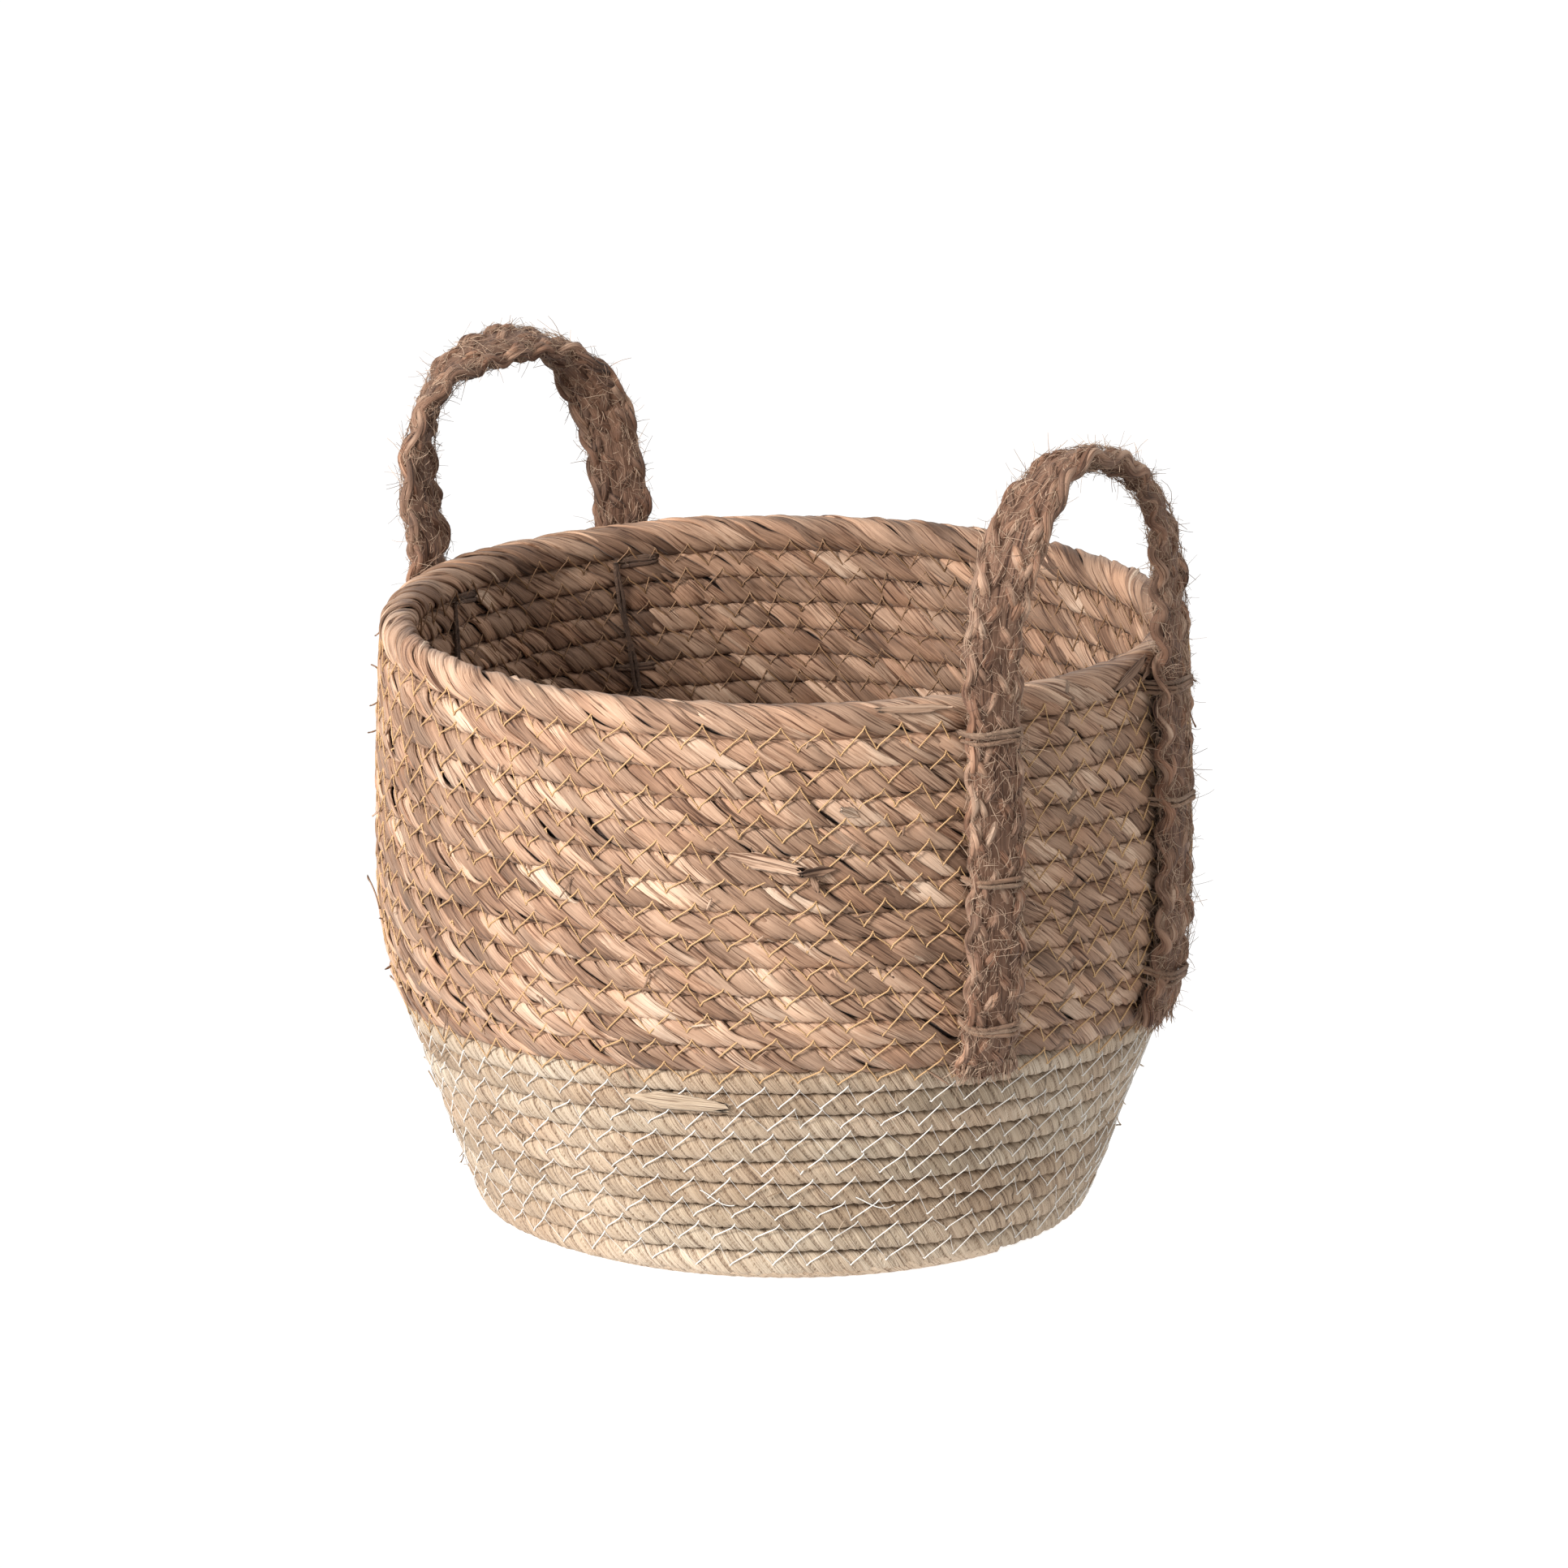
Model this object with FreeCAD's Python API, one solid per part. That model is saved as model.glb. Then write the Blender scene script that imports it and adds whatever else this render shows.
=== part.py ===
"""Round coiled-rope laundry basket with two plaited loop handles.

Millimetres, +Z up.  The origin is the middle of the flat underside.  The handles stand near +X and
-X.  The wall is stacked rope courses sewn into a belly shape: nine pale courses that carry on from
the flat base coil, twelve brown courses above them and a thicker brown rim course on top.
"""
import FreeCAD, Part
import math
import os

# Basket wall (heights are measured from the underside)
BELLY_RADIUS = 174.5        # widest outer radius
BELLY_HEIGHT = 150.0        # height of the widest place
BELLY_CURVE = 150.0         # radius of the curve from the sloping foot up to the widest place
BASE_RADIUS = 133.0         # outer radius at the foot of the wall
FOOT_HEIGHT = 5.0           # height at which BASE_RADIUS is measured
RIM_RADIUS = 171.5          # outer radius of the wall under the rim
RIM_HEIGHT = 259.0          # top of the rim course
COLOUR_HEIGHT = 95.0        # where the pale rope stops and the brown rope starts

# Rope courses
PALE_COURSES = 9
BROWN_COURSES = 12
BASE_RINGS = 10             # turns of rope in the flat base
PALE_ROPE = 11.5            # radial thickness of the pale rope
BROWN_ROPE = 13.0           # radial thickness of the brown rope
RIM_ROPE = 15.0             # radial thickness of the rim course
RIM_COURSE = 14.5           # height of the rim course
GROOVE = 2.2                # depth of the groove between two courses
BASE_THICKNESS = 10.0       # flat base coil

# Handles: one plait each, two legs lashed to the wall and a free loop above the rim
HANDLE_SPREAD = 18.25       # each leg's angle from the middle of its handle, degrees
HANDLE_MIDDLE = {"right": 3.5, "left": 178.5}   # angle of each handle's middle about Z, degrees
PLAIT_WIDTH = 25.0
PLAIT_THICKNESS = 12.0
PLAIT_EDGE = 4.8            # rounding of the plait's long edges
LEG_FOOT = 99.0             # height of the legs' cut ends

# Loops: each is a flattened arch whose plait turns its flat face up at the top
LOOP_RISE = {"right": 86.0, "left": 78.0}       # centre line's top above the hinge
LOOP_LEAN = {"right": -1.0, "left": 11.0}       # outward lean at rest, degrees
LOOP_SKEW = {"right": -11.0, "left": -8.0}      # the top's sideways offset, anticlockwise positive
LOOP_SQUARENESS = {"right": (1.5, 2.3), "left": (2.2, 2.8)}     # clockwise limb, the other limb
LOOP_TURN = 105.0           # how far the flat face has turned at the top, degrees
LOOP_STRAIGHT = 9.0         # unturned length above the hinge
LOOP_STATIONS = 9           # sections along each limb

# Twine ties that hold the legs, three on each leg, and the runs that join them inside the wall
TIE_HEIGHTS = {
    "right_front": (121.0, 178.0, 244.0),
    "right_rear": (126.0, 193.0, 244.0),
    "left_front": (124.0, 184.0, 244.0),
    "left_rear": (122.0, 190.0, 244.0),
}
TIE_NAMES = ("lower", "middle", "upper")
TIE_BAND = 6.5              # height of the wraps side by side
TWINE = 2.4                 # thickness of one layer of twine
TIE_SQUEEZE = 0.6           # how far a tie presses into the plait's outer face
RUN_WIDTH = 3.2             # twine run on the inside of the wall

# Clearances
LEG_GAP = 0.3               # between the crests of the wall and a leg
HINGE_GAP = 0.5             # between a leg's top and the loop that bends on it

Z_AXIS = FreeCAD.Vector(0, 0, 1)
ORIGIN = FreeCAD.Vector(0, 0, 0)


class Meridian:
    """Outer outline of the wall: a straight cone, a curve up to the belly and a flat curve above."""

    def __init__(self):
        self.upper = ((BELLY_RADIUS - RIM_RADIUS) ** 2 + (RIM_HEIGHT - BELLY_HEIGHT) ** 2)
        self.upper /= 2 * (BELLY_RADIUS - RIM_RADIUS)
        across = BASE_RADIUS - (BELLY_RADIUS - BELLY_CURVE)
        down = FOOT_HEIGHT - BELLY_HEIGHT
        tangent = math.acos(BELLY_CURVE / math.hypot(across, down))
        self.cone_slope = math.atan2(down, across) + tangent
        self.knee = BELLY_HEIGHT + BELLY_CURVE * math.sin(self.cone_slope)

    def slope(self, z):
        """Angle of the outline's outward normal above level, in radians."""
        if z <= self.knee:
            return self.cone_slope
        curve = BELLY_CURVE if z <= BELLY_HEIGHT else self.upper
        return math.asin((z - BELLY_HEIGHT) / curve)

    def point(self, z, depth=0.0):
        """Point (r, 0, z') that lies `depth` inside the outline, square to it, at height z."""
        slope = self.slope(z)
        curve = BELLY_CURVE if z <= BELLY_HEIGHT else self.upper
        radius = BELLY_RADIUS - curve + curve * math.cos(slope)
        if z < self.knee:
            radius += (self.knee - z) * math.tan(slope)
        return FreeCAD.Vector(radius - depth * math.cos(slope), 0, z - depth * math.sin(slope))

    def radius(self, z):
        return self.point(z).x


MERIDIAN = Meridian()


def levels(bottom, top, count):
    """Heights of the joins between `count` equal courses."""
    return [bottom + (top - bottom) * k / count for k in range(count + 1)]


def scallops(joins, crest_depth, groove_depth):
    """Arc edges, one for each course, from join to join."""
    edges = []
    for low, high in zip(joins, joins[1:]):
        edges.append(Part.Arc(MERIDIAN.point(low, groove_depth),
                              MERIDIAN.point((low + high) / 2, crest_depth),
                              MERIDIAN.point(high, groove_depth)).toShape())
    return edges


def line(start, end):
    return Part.LineSegment(start, end).toShape()


def turn(edges):
    """Solid of revolution about Z from a closed outline in the XZ plane."""
    face = Part.Face(Part.Wire(Part.__sortEdges__(edges)))
    return face.revolve(ORIGIN, Z_AXIS, 360)


def make_base_coil():
    """Flat coil: level underside, ropes showing as rings on its upper side."""
    outer = base_edge()
    pitch = outer / BASE_RINGS
    edges = [line(ORIGIN, FreeCAD.Vector(outer, 0, 0)),
             line(FreeCAD.Vector(outer, 0, 0), FreeCAD.Vector(outer, 0, BASE_THICKNESS - GROOVE)),
             line(FreeCAD.Vector(0, 0, BASE_THICKNESS - GROOVE), ORIGIN)]
    for k in range(BASE_RINGS):
        edges.append(Part.Arc(FreeCAD.Vector(k * pitch, 0, BASE_THICKNESS - GROOVE),
                              FreeCAD.Vector((k + 0.5) * pitch, 0, BASE_THICKNESS),
                              FreeCAD.Vector((k + 1) * pitch, 0, BASE_THICKNESS - GROOVE)).toShape())
    return turn(edges)


def base_edge():
    """Radius where the flat base meets the first wall course."""
    return BASE_RADIUS - PALE_ROPE - FOOT_HEIGHT


def make_pale_wall_coil():
    joins = levels(0, COLOUR_HEIGHT, PALE_COURSES)
    edge = base_edge()
    foot = BASE_RADIUS - PALE_ROPE / 2
    outer = scallops(joins[1:], 0, GROOVE)
    inner = scallops(joins[1:], PALE_ROPE, PALE_ROPE - GROOVE)
    first_outer = MERIDIAN.point(joins[1], GROOVE)
    first_inner = MERIDIAN.point(joins[1], PALE_ROPE - GROOVE)
    foot_crest = FreeCAD.Vector(BASE_RADIUS - 0.5, 0, FOOT_HEIGHT)
    inner_step = FreeCAD.Vector(edge, 0, BASE_THICKNESS - GROOVE)
    edges = outer + inner
    edges.append(Part.Arc(FreeCAD.Vector(foot, 0, 0), foot_crest, first_outer).toShape())
    edges.append(line(FreeCAD.Vector(foot, 0, 0), FreeCAD.Vector(edge, 0, 0)))
    edges.append(line(FreeCAD.Vector(edge, 0, 0), inner_step))
    edges.append(line(inner_step, first_inner))
    edges.append(line(MERIDIAN.point(COLOUR_HEIGHT, GROOVE),
                      MERIDIAN.point(COLOUR_HEIGHT, PALE_ROPE - GROOVE)))
    return turn(edges)


def make_brown_wall_coil():
    top = RIM_HEIGHT - RIM_COURSE
    joins = levels(COLOUR_HEIGHT, top, BROWN_COURSES)
    deep = BROWN_ROPE - GROOVE
    edges = scallops(joins, 0, GROOVE) + scallops(joins, BROWN_ROPE, deep)
    edges.append(line(MERIDIAN.point(COLOUR_HEIGHT, GROOVE), MERIDIAN.point(COLOUR_HEIGHT, deep)))
    edges.append(line(MERIDIAN.point(top, GROOVE), MERIDIAN.point(top, deep)))
    return turn(edges)


def make_rim_coil():
    """Rounded top course: flat where it sits on the brown wall, an oval above."""
    join = RIM_HEIGHT - RIM_COURSE
    side = join + RIM_COURSE * 0.46
    shoulder = RIM_HEIGHT - RIM_COURSE * 0.17
    outer = MERIDIAN.point(join, GROOVE)
    inner = MERIDIAN.point(join, BROWN_ROPE - GROOVE)
    outer_shoulder = MERIDIAN.point(shoulder, RIM_ROPE * 0.12)
    inner_shoulder = MERIDIAN.point(shoulder, RIM_ROPE * 0.88)
    crown = FreeCAD.Vector(MERIDIAN.point(RIM_HEIGHT, RIM_ROPE / 2).x, 0, RIM_HEIGHT)
    edges = [line(inner, outer),
             Part.Arc(outer, MERIDIAN.point(side), outer_shoulder).toShape(),
             Part.Arc(outer_shoulder, crown, inner_shoulder).toShape(),
             Part.Arc(inner_shoulder, MERIDIAN.point(side, RIM_ROPE), inner).toShape()]
    return turn(edges)


def section(centre, across, deep, width, thickness, edge):
    """Wire of a rounded rectangle: `width` along `across`, `thickness` along `deep`."""
    half_w = width / 2
    half_t = thickness / 2
    bevel = edge * (1 - math.sqrt(0.5))

    def at(u, v):
        return centre + across * u + deep * v

    edges = []
    for side in (-1, 1):
        edges.append(line(at(side * half_w, edge - half_t), at(side * half_w, half_t - edge)))
        edges.append(line(at(edge - half_w, side * half_t), at(half_w - edge, side * half_t)))
        for end in (-1, 1):
            edges.append(Part.Arc(at(side * half_w, end * (half_t - edge)),
                                  at(side * (half_w - bevel), end * (half_t - bevel)),
                                  at(side * (half_w - edge), end * half_t)).toShape())
    return Part.Wire(Part.__sortEdges__(edges))


def sweep(path_edges, profile):
    return Part.Wire(path_edges).makePipeShell([profile], True, False)


def wall_path(bottom, top, depth):
    """Tangent pieces that follow the wall at `depth` inside its outline (negative is outside)."""
    pieces = []
    if bottom < MERIDIAN.knee:
        pieces.append(line(MERIDIAN.point(bottom, depth), MERIDIAN.point(MERIDIAN.knee, depth)))
    for low, high in ((max(bottom, MERIDIAN.knee), BELLY_HEIGHT), (BELLY_HEIGHT, top)):
        points = [MERIDIAN.point(z, depth) for z in (low, (low + high) / 2, high)]
        pieces.append(Part.Arc(*points).toShape())
    return pieces


def turned(shape, degrees):
    """Copy of a shape turned about Z."""
    copy = shape.copy()
    copy.rotate(ORIGIN, Z_AXIS, degrees)
    return copy


def leg_angle(side, end):
    """Angle about Z of a leg: `side` is right or left, `end` is front (-Y) or rear (+Y)."""
    clockwise = (side == "right") == (end == "front")
    return HANDLE_MIDDLE[side] + (-HANDLE_SPREAD if clockwise else HANDLE_SPREAD)


def make_leg():
    """Leg of a handle at angle 0: the plait bent to the wall, flat on top, level with the rim."""
    depth = -(LEG_GAP + PLAIT_THICKNESS / 2)
    path = wall_path(LEG_FOOT, RIM_HEIGHT + 5, depth)
    slope = MERIDIAN.slope(LEG_FOOT)
    deep = FreeCAD.Vector(math.cos(slope), 0, math.sin(slope))
    profile = section(MERIDIAN.point(LEG_FOOT, depth), FreeCAD.Vector(0, 1, 0), deep,
                      PLAIT_WIDTH, PLAIT_THICKNESS, PLAIT_EDGE)
    above = Part.makeBox(200, 200, 50, FreeCAD.Vector(100, -100, RIM_HEIGHT))
    return sweep(path, profile).cut(above)


def hinge_place():
    """Distance of the loop's plane from the Z axis, half the loop's span, and the hinge height."""
    radius = MERIDIAN.point(RIM_HEIGHT, -(LEG_GAP + PLAIT_THICKNESS / 2)).x
    spread = math.radians(HANDLE_SPREAD)
    height = RIM_HEIGHT + HINGE_GAP + PLAIT_THICKNESS / 2
    return radius * math.cos(spread), radius * math.sin(spread), height


def loop_centre(side, turn_angle):
    """Point (y, up) of a loop's centre line; turn_angle runs from 0 at one hinge to 180."""
    half = hinge_place()[1]
    across = math.cos(math.radians(turn_angle))
    up = math.sin(math.radians(turn_angle))
    power = 2 / LOOP_SQUARENESS[side][0 if across < 0 else 1]
    reach = abs(across) ** power
    y = math.copysign(half * reach, across) + LOOP_SKEW[side] * (1 - reach)
    return y, LOOP_STRAIGHT + (LOOP_RISE[side] - LOOP_STRAIGHT) * abs(up) ** power


def make_loop(side):
    """Free loop of a handle whose middle is at angle 0, rounded where it bends on its legs."""
    plane, half, height = hinge_place()
    wires = []
    count = 2 * LOOP_STATIONS
    for k in range(-1, count + 2):
        station = 180 * min(max(k, 0), count) / count
        y, up = loop_centre(side, station)
        before = loop_centre(side, max(station - 2, 0))
        after = loop_centre(side, min(station + 2, 180))
        along = FreeCAD.Vector(0, after[0] - before[0], after[1] - before[1]).normalize()
        if k in (-1, 0, count, count + 1):
            along = FreeCAD.Vector(0, 0, 1 if k < 1 else -1)
        if k in (-1, count + 1):
            up = -PLAIT_THICKNESS / 2
        outward = FreeCAD.Vector(1, 0, 0)
        rising = (1 - math.cos(math.radians(2 * station))) / 2
        facing = math.radians(LOOP_TURN * rising)
        away = along.cross(outward)
        deep = outward * math.cos(facing) + away * math.sin(facing)
        wires.append(section(FreeCAD.Vector(plane, y, height + up), along.cross(deep), deep,
                             PLAIT_WIDTH, PLAIT_THICKNESS, PLAIT_EDGE))
    loop = Part.makeLoft(wires, True, False)
    span = 2 * half + 2 * PLAIT_WIDTH
    start = FreeCAD.Vector(plane, -span / 2, height)
    below = Part.makeBox(2 * PLAIT_THICKNESS, span, PLAIT_THICKNESS,
                         start - FreeCAD.Vector(PLAIT_THICKNESS, 0, PLAIT_THICKNESS))
    barrel = Part.makeCylinder(PLAIT_THICKNESS / 2, span, start, FreeCAD.Vector(0, 1, 0))
    loop = loop.cut(below.cut(barrel))
    loop.rotate(FreeCAD.Vector(plane, 0, height), FreeCAD.Vector(0, 1, 0), LOOP_LEAN[side])
    return loop


def nearest_join(z):
    """Height of the join between two courses that is nearest to z."""
    joins = levels(COLOUR_HEIGHT, RIM_HEIGHT - RIM_COURSE, BROWN_COURSES)
    return min(joins, key=lambda join: abs(join - z))


def make_tie(z):
    """Twine wrapped round a leg at angle 0 and through the wall, as one flat closed band."""
    inside = -(BROWN_ROPE + TWINE)
    outside = LEG_GAP + PLAIT_THICKNESS - TIE_SQUEEZE + TWINE
    width = PLAIT_WIDTH - 2 * TIE_SQUEEZE + 2 * TWINE
    middle = FreeCAD.Vector((inside + outside) / 2, 0, -TIE_BAND / 2)
    x_axis = FreeCAD.Vector(1, 0, 0)
    y_axis = FreeCAD.Vector(0, 1, 0)
    outer = section(middle, y_axis, x_axis, width, outside - inside, PLAIT_EDGE)
    inner = section(middle, y_axis, x_axis, width - 2 * TWINE, outside - inside - 2 * TWINE,
                    PLAIT_EDGE - TWINE * 0.8)
    rise = FreeCAD.Vector(0, 0, TIE_BAND)
    band = Part.Face(outer).extrude(rise).cut(Part.Face(inner).extrude(rise))
    band.rotate(ORIGIN, y_axis, -math.degrees(MERIDIAN.slope(z)))
    band.translate(MERIDIAN.point(z))
    return band


def make_inner_twine(low, high):
    """Twine that runs up the inside of the wall between two heights, at angle 0."""
    depth = BROWN_ROPE + TWINE / 2
    slope = MERIDIAN.slope(low)
    deep = FreeCAD.Vector(math.cos(slope), 0, math.sin(slope))
    profile = section(MERIDIAN.point(low, depth), FreeCAD.Vector(0, 1, 0), deep,
                      RUN_WIDTH, TWINE - 0.2, TWINE * 0.4)
    return sweep(wall_path(low, high, depth), profile)


def build():
    parts = {
        "base_coil": make_base_coil(),
        "pale_wall_coil": make_pale_wall_coil(),
        "brown_wall_coil": make_brown_wall_coil(),
        "rim_coil": make_rim_coil(),
    }
    leg = make_leg()
    ties = {}
    for leg_name, heights in TIE_HEIGHTS.items():
        side, end = leg_name.split("_")
        angle = leg_angle(side, end)
        joins = [nearest_join(z) for z in heights]
        own_ties = [turned(make_tie(z), angle) for z in joins]
        for tie_name, tie in zip(TIE_NAMES, own_ties):
            ties[f"{leg_name}_{tie_name}_tie"] = tie
        parts[f"{side}_handle_{end}_leg"] = turned(leg, angle).cut(own_ties)
        twine = turned(make_inner_twine(joins[0], joins[-1]), angle)
        parts[f"{leg_name}_inner_twine"] = twine.cut(own_ties)
    for name in ("brown_wall_coil", "rim_coil"):
        parts[name] = parts[name].cut(list(ties.values()))
    parts.update(ties)
    for side in ("right", "left"):
        parts[f"{side}_handle_loop"] = turned(make_loop(side), HANDLE_MIDDLE[side])
    return parts


def main():
    os.makedirs("parts", exist_ok=True)
    for name, shape in build().items():
        shape = shape.removeSplitter()
        shape.exportStep(f"parts/{name}.step")
        print(f"{name:28s} solids {len(shape.Solids)}  volume {shape.Volume / 1000:8.2f} cm3  "
              f"valid {shape.isValid()}")
    plane, half, height = hinge_place()
    print(f"hinge axis: {plane:.3f} mm from the axis of the basket, {height:.3f} mm up")


main()
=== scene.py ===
"""Laundry basket of coiled rush and husk rope with two plaited jute handles, in metres.

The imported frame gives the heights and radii.  Every rope, thread, plait and hair is mesh made here.
"""
import math

import bpy
import numpy as np
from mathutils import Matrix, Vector


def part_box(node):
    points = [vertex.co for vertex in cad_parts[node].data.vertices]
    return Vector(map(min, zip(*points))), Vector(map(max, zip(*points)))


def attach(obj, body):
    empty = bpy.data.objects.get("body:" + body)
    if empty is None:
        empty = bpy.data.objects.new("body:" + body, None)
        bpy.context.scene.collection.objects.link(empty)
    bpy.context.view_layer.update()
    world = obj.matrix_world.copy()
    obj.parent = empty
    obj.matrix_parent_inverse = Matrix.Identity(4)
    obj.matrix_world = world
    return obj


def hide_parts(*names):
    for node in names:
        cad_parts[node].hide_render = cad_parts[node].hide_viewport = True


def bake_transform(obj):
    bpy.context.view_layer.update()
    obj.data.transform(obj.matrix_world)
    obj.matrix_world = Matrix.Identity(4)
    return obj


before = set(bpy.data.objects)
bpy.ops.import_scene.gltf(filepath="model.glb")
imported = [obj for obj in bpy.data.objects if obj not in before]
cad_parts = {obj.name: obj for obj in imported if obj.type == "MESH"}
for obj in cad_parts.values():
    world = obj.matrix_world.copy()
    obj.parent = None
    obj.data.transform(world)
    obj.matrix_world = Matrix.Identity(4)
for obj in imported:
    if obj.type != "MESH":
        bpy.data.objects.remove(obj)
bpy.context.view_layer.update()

MM = 0.001

# Basket outline, the same cone and curves as the CAD wall
BELLY_RADIUS = 174.5 * MM
BELLY_HEIGHT = 150.0 * MM
BELLY_CURVE = 150.0 * MM
BASE_RADIUS = 133.0 * MM
FOOT_HEIGHT = 5.0 * MM
RIM_RADIUS = 171.5 * MM
RIM_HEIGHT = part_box("rim_coil")[1].z
COLOUR_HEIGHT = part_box("brown_wall_coil")[0].z
RIM_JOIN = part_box("rim_coil")[0].z

PALE_COURSES = 9
BROWN_COURSES = 12
PALE_ROPE = 11.5 * MM
BROWN_ROPE = 13.0 * MM
RIM_ROPE = 15.0 * MM

# The camera's azimuth: a course dips to either side of this line of sight
VIEW_AZIMUTH = 46.4

TAU = 2 * math.pi


# ---------------------------------------------------------------- outline

UPPER_CURVE = (((BELLY_RADIUS - RIM_RADIUS) ** 2 + (RIM_HEIGHT - BELLY_HEIGHT) ** 2)
               / (2 * (BELLY_RADIUS - RIM_RADIUS)))
FOOT_ACROSS = BASE_RADIUS - (BELLY_RADIUS - BELLY_CURVE)
FOOT_DOWN = FOOT_HEIGHT - BELLY_HEIGHT
CONE_SLOPE = (math.atan2(FOOT_DOWN, FOOT_ACROSS)
              + math.acos(BELLY_CURVE / math.hypot(FOOT_ACROSS, FOOT_DOWN)))
KNEE = BELLY_HEIGHT + BELLY_CURVE * math.sin(CONE_SLOPE)


def outline(z, depth=0.0):
    """Radius, height and outward slope of the wall `depth` inside its outline at height z."""
    curve = BELLY_CURVE if z <= BELLY_HEIGHT else UPPER_CURVE
    slope = CONE_SLOPE if z <= KNEE else math.asin((z - BELLY_HEIGHT) / curve)
    radius = BELLY_RADIUS - curve + curve * math.cos(slope)
    if z < KNEE:
        radius += (KNEE - z) * math.tan(slope)
    return radius - depth * math.cos(slope), z - depth * math.sin(slope), slope


# ---------------------------------------------------------------- mesh building

def circle(count):
    """Angles evenly spaced round a circle."""
    return np.linspace(0, TAU, count, endpoint=False)


def clamp(value):
    return np.clip(value, 0, 1)


def add_object(name, data):
    thing = bpy.data.objects.new(name, data)
    bpy.context.scene.collection.objects.link(thing)
    return thing


def grid(*parts):
    """Stack three arrays that broadcast together into an array of vectors."""
    return np.stack(np.broadcast_arrays(*parts), -1)


def polar(r, phi, z):
    return grid(r * np.cos(phi), r * np.sin(phi), z)


def beside(r, v, z, angle):
    """Point `r` out along the direction `angle` and `v` to its left."""
    return grid(r * math.cos(angle) - v * math.sin(angle),
                r * math.sin(angle) + v * math.cos(angle), z)


class Weave:
    """Gathers grids of points into one mesh, with the numbers that its material reads."""

    def __init__(self):
        self.points = []
        self.quads = []
        self.fibre = []
        self.tone = []
        self.fans = []
        self.count = 0

    def add(self, points, fibre, tone, wrap_rows=False, wrap_columns=True, cap=False):
        """Add a grid: points and fibre are (rows, columns, 3); tone is three numbers or a grid."""
        rows, columns = points.shape[:2]
        index = np.arange(rows * columns).reshape(rows, columns) + self.count
        if wrap_rows:
            index = np.vstack([index, index[:1]])
        if wrap_columns:
            index = np.hstack([index, index[:, :1]])
        self.store(points, fibre, tone, index)
        if cap:
            shades = self.tone[-1]
            self.cap(points[0], fibre[0], shades[:columns], index[0, :columns], flip=True)
            self.cap(points[-1], fibre[-1], shades[-columns:], index[-1, :columns], flip=False)

    def store(self, points, fibre, tone, index):
        """Keep points with their numbers, and the quads of grids of indices."""
        quads = np.stack([index[..., :-1, :-1], index[..., :-1, 1:],
                          index[..., 1:, 1:], index[..., 1:, :-1]], -1)
        self.quads.append(quads.reshape(-1, 4))
        self.points.append(points.reshape(-1, 3))
        self.fibre.append(fibre.reshape(-1, 3))
        self.tone.append(np.broadcast_to(tone, points.shape).reshape(-1, 3))
        self.count += points.size // 3

    def cap(self, ring, fibre, tone, index, flip):
        """Close an end with a fan about its middle."""
        self.points.append(ring.mean(0, keepdims=True))
        self.fibre.append(fibre.mean(0, keepdims=True))
        self.tone.append(tone.mean(0, keepdims=True))
        middle = self.count
        self.count += 1
        following = np.roll(index, -1)
        fan = np.stack([index, following, np.full_like(index, middle)], -1)
        if not flip:
            fan = fan[:, ::-1]
        self.fans.append(fan)

    def build(self, name, material):
        """Make the object; quads first, then the end fans."""
        quads = np.concatenate(self.quads)
        fans = np.concatenate(self.fans) if self.fans else np.zeros((0, 3), int)
        corners = np.concatenate([quads.ravel(), fans.ravel()]).astype(np.int32)
        sizes = np.concatenate([np.full(len(quads), 4), np.full(len(fans), 3)])
        starts = np.concatenate([[0], np.cumsum(sizes)[:-1]]).astype(np.int32)
        mesh = bpy.data.meshes.new(name)
        mesh.vertices.add(self.count)
        mesh.vertices.foreach_set("co", np.concatenate(self.points).astype(np.float32).ravel())
        mesh.loops.add(len(corners))
        mesh.loops.foreach_set("vertex_index", corners)
        mesh.polygons.add(len(sizes))
        mesh.polygons.foreach_set("loop_start", starts)
        mesh.polygons.foreach_set("use_smooth", np.ones(len(sizes), bool))
        for label, values in (("fibre", self.fibre), ("tone", self.tone)):
            layer = mesh.attributes.new(label, "FLOAT_VECTOR", "POINT")
            layer.data.foreach_set("vector", np.concatenate(values).astype(np.float32).ravel())
        mesh.update(calc_edges=True)
        mesh.validate()
        mesh.materials.append(material)
        return add_object(name, mesh)


def wander(rng, t, size, turns=(1, 2, 3, 5, 8)):
    """Smooth random line over t (0..1) that closes on itself."""
    line = np.zeros_like(t)
    slowest = min(turns)
    for n in turns:
        gain = rng.uniform(0.5, 1.4)
        line += gain * np.sin(TAU * n * t + rng.uniform(0, TAU)) * math.sqrt(slowest / n)
    return size * line * 1.4 / math.sqrt(len(turns))


def smooth(value, low, high):
    """0 below `low`, 1 above `high`, and an even curve between."""
    share = clamp((value - low) / (high - low))
    return share * share * (3 - 2 * share)


# ---------------------------------------------------------------- ropes of the wall

SAG = 4.4 * MM
SAG_HEIGHTS = (0, 20, 90, 170, 240, 259)
SAG_SHARES = (0, 0.35, 1, 0.5, 0.15, 0)


def dip(phi, height):
    """How far a course rises above level at angle phi: courses sag at the sides of the view."""
    weight = np.interp(height / MM, SAG_HEIGHTS, SAG_SHARES)
    return -SAG * weight * np.cos(2 * (phi - math.radians(VIEW_AZIMUTH)))


# Ropes press together where they are sewn: a rounded square section (2 would be a circle)
WALL_SQUARE = 4.2
HUSK_SQUARE = 3.0
RIM_SQUARE = 2.3
WAVER = 0.35 * MM


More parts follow.
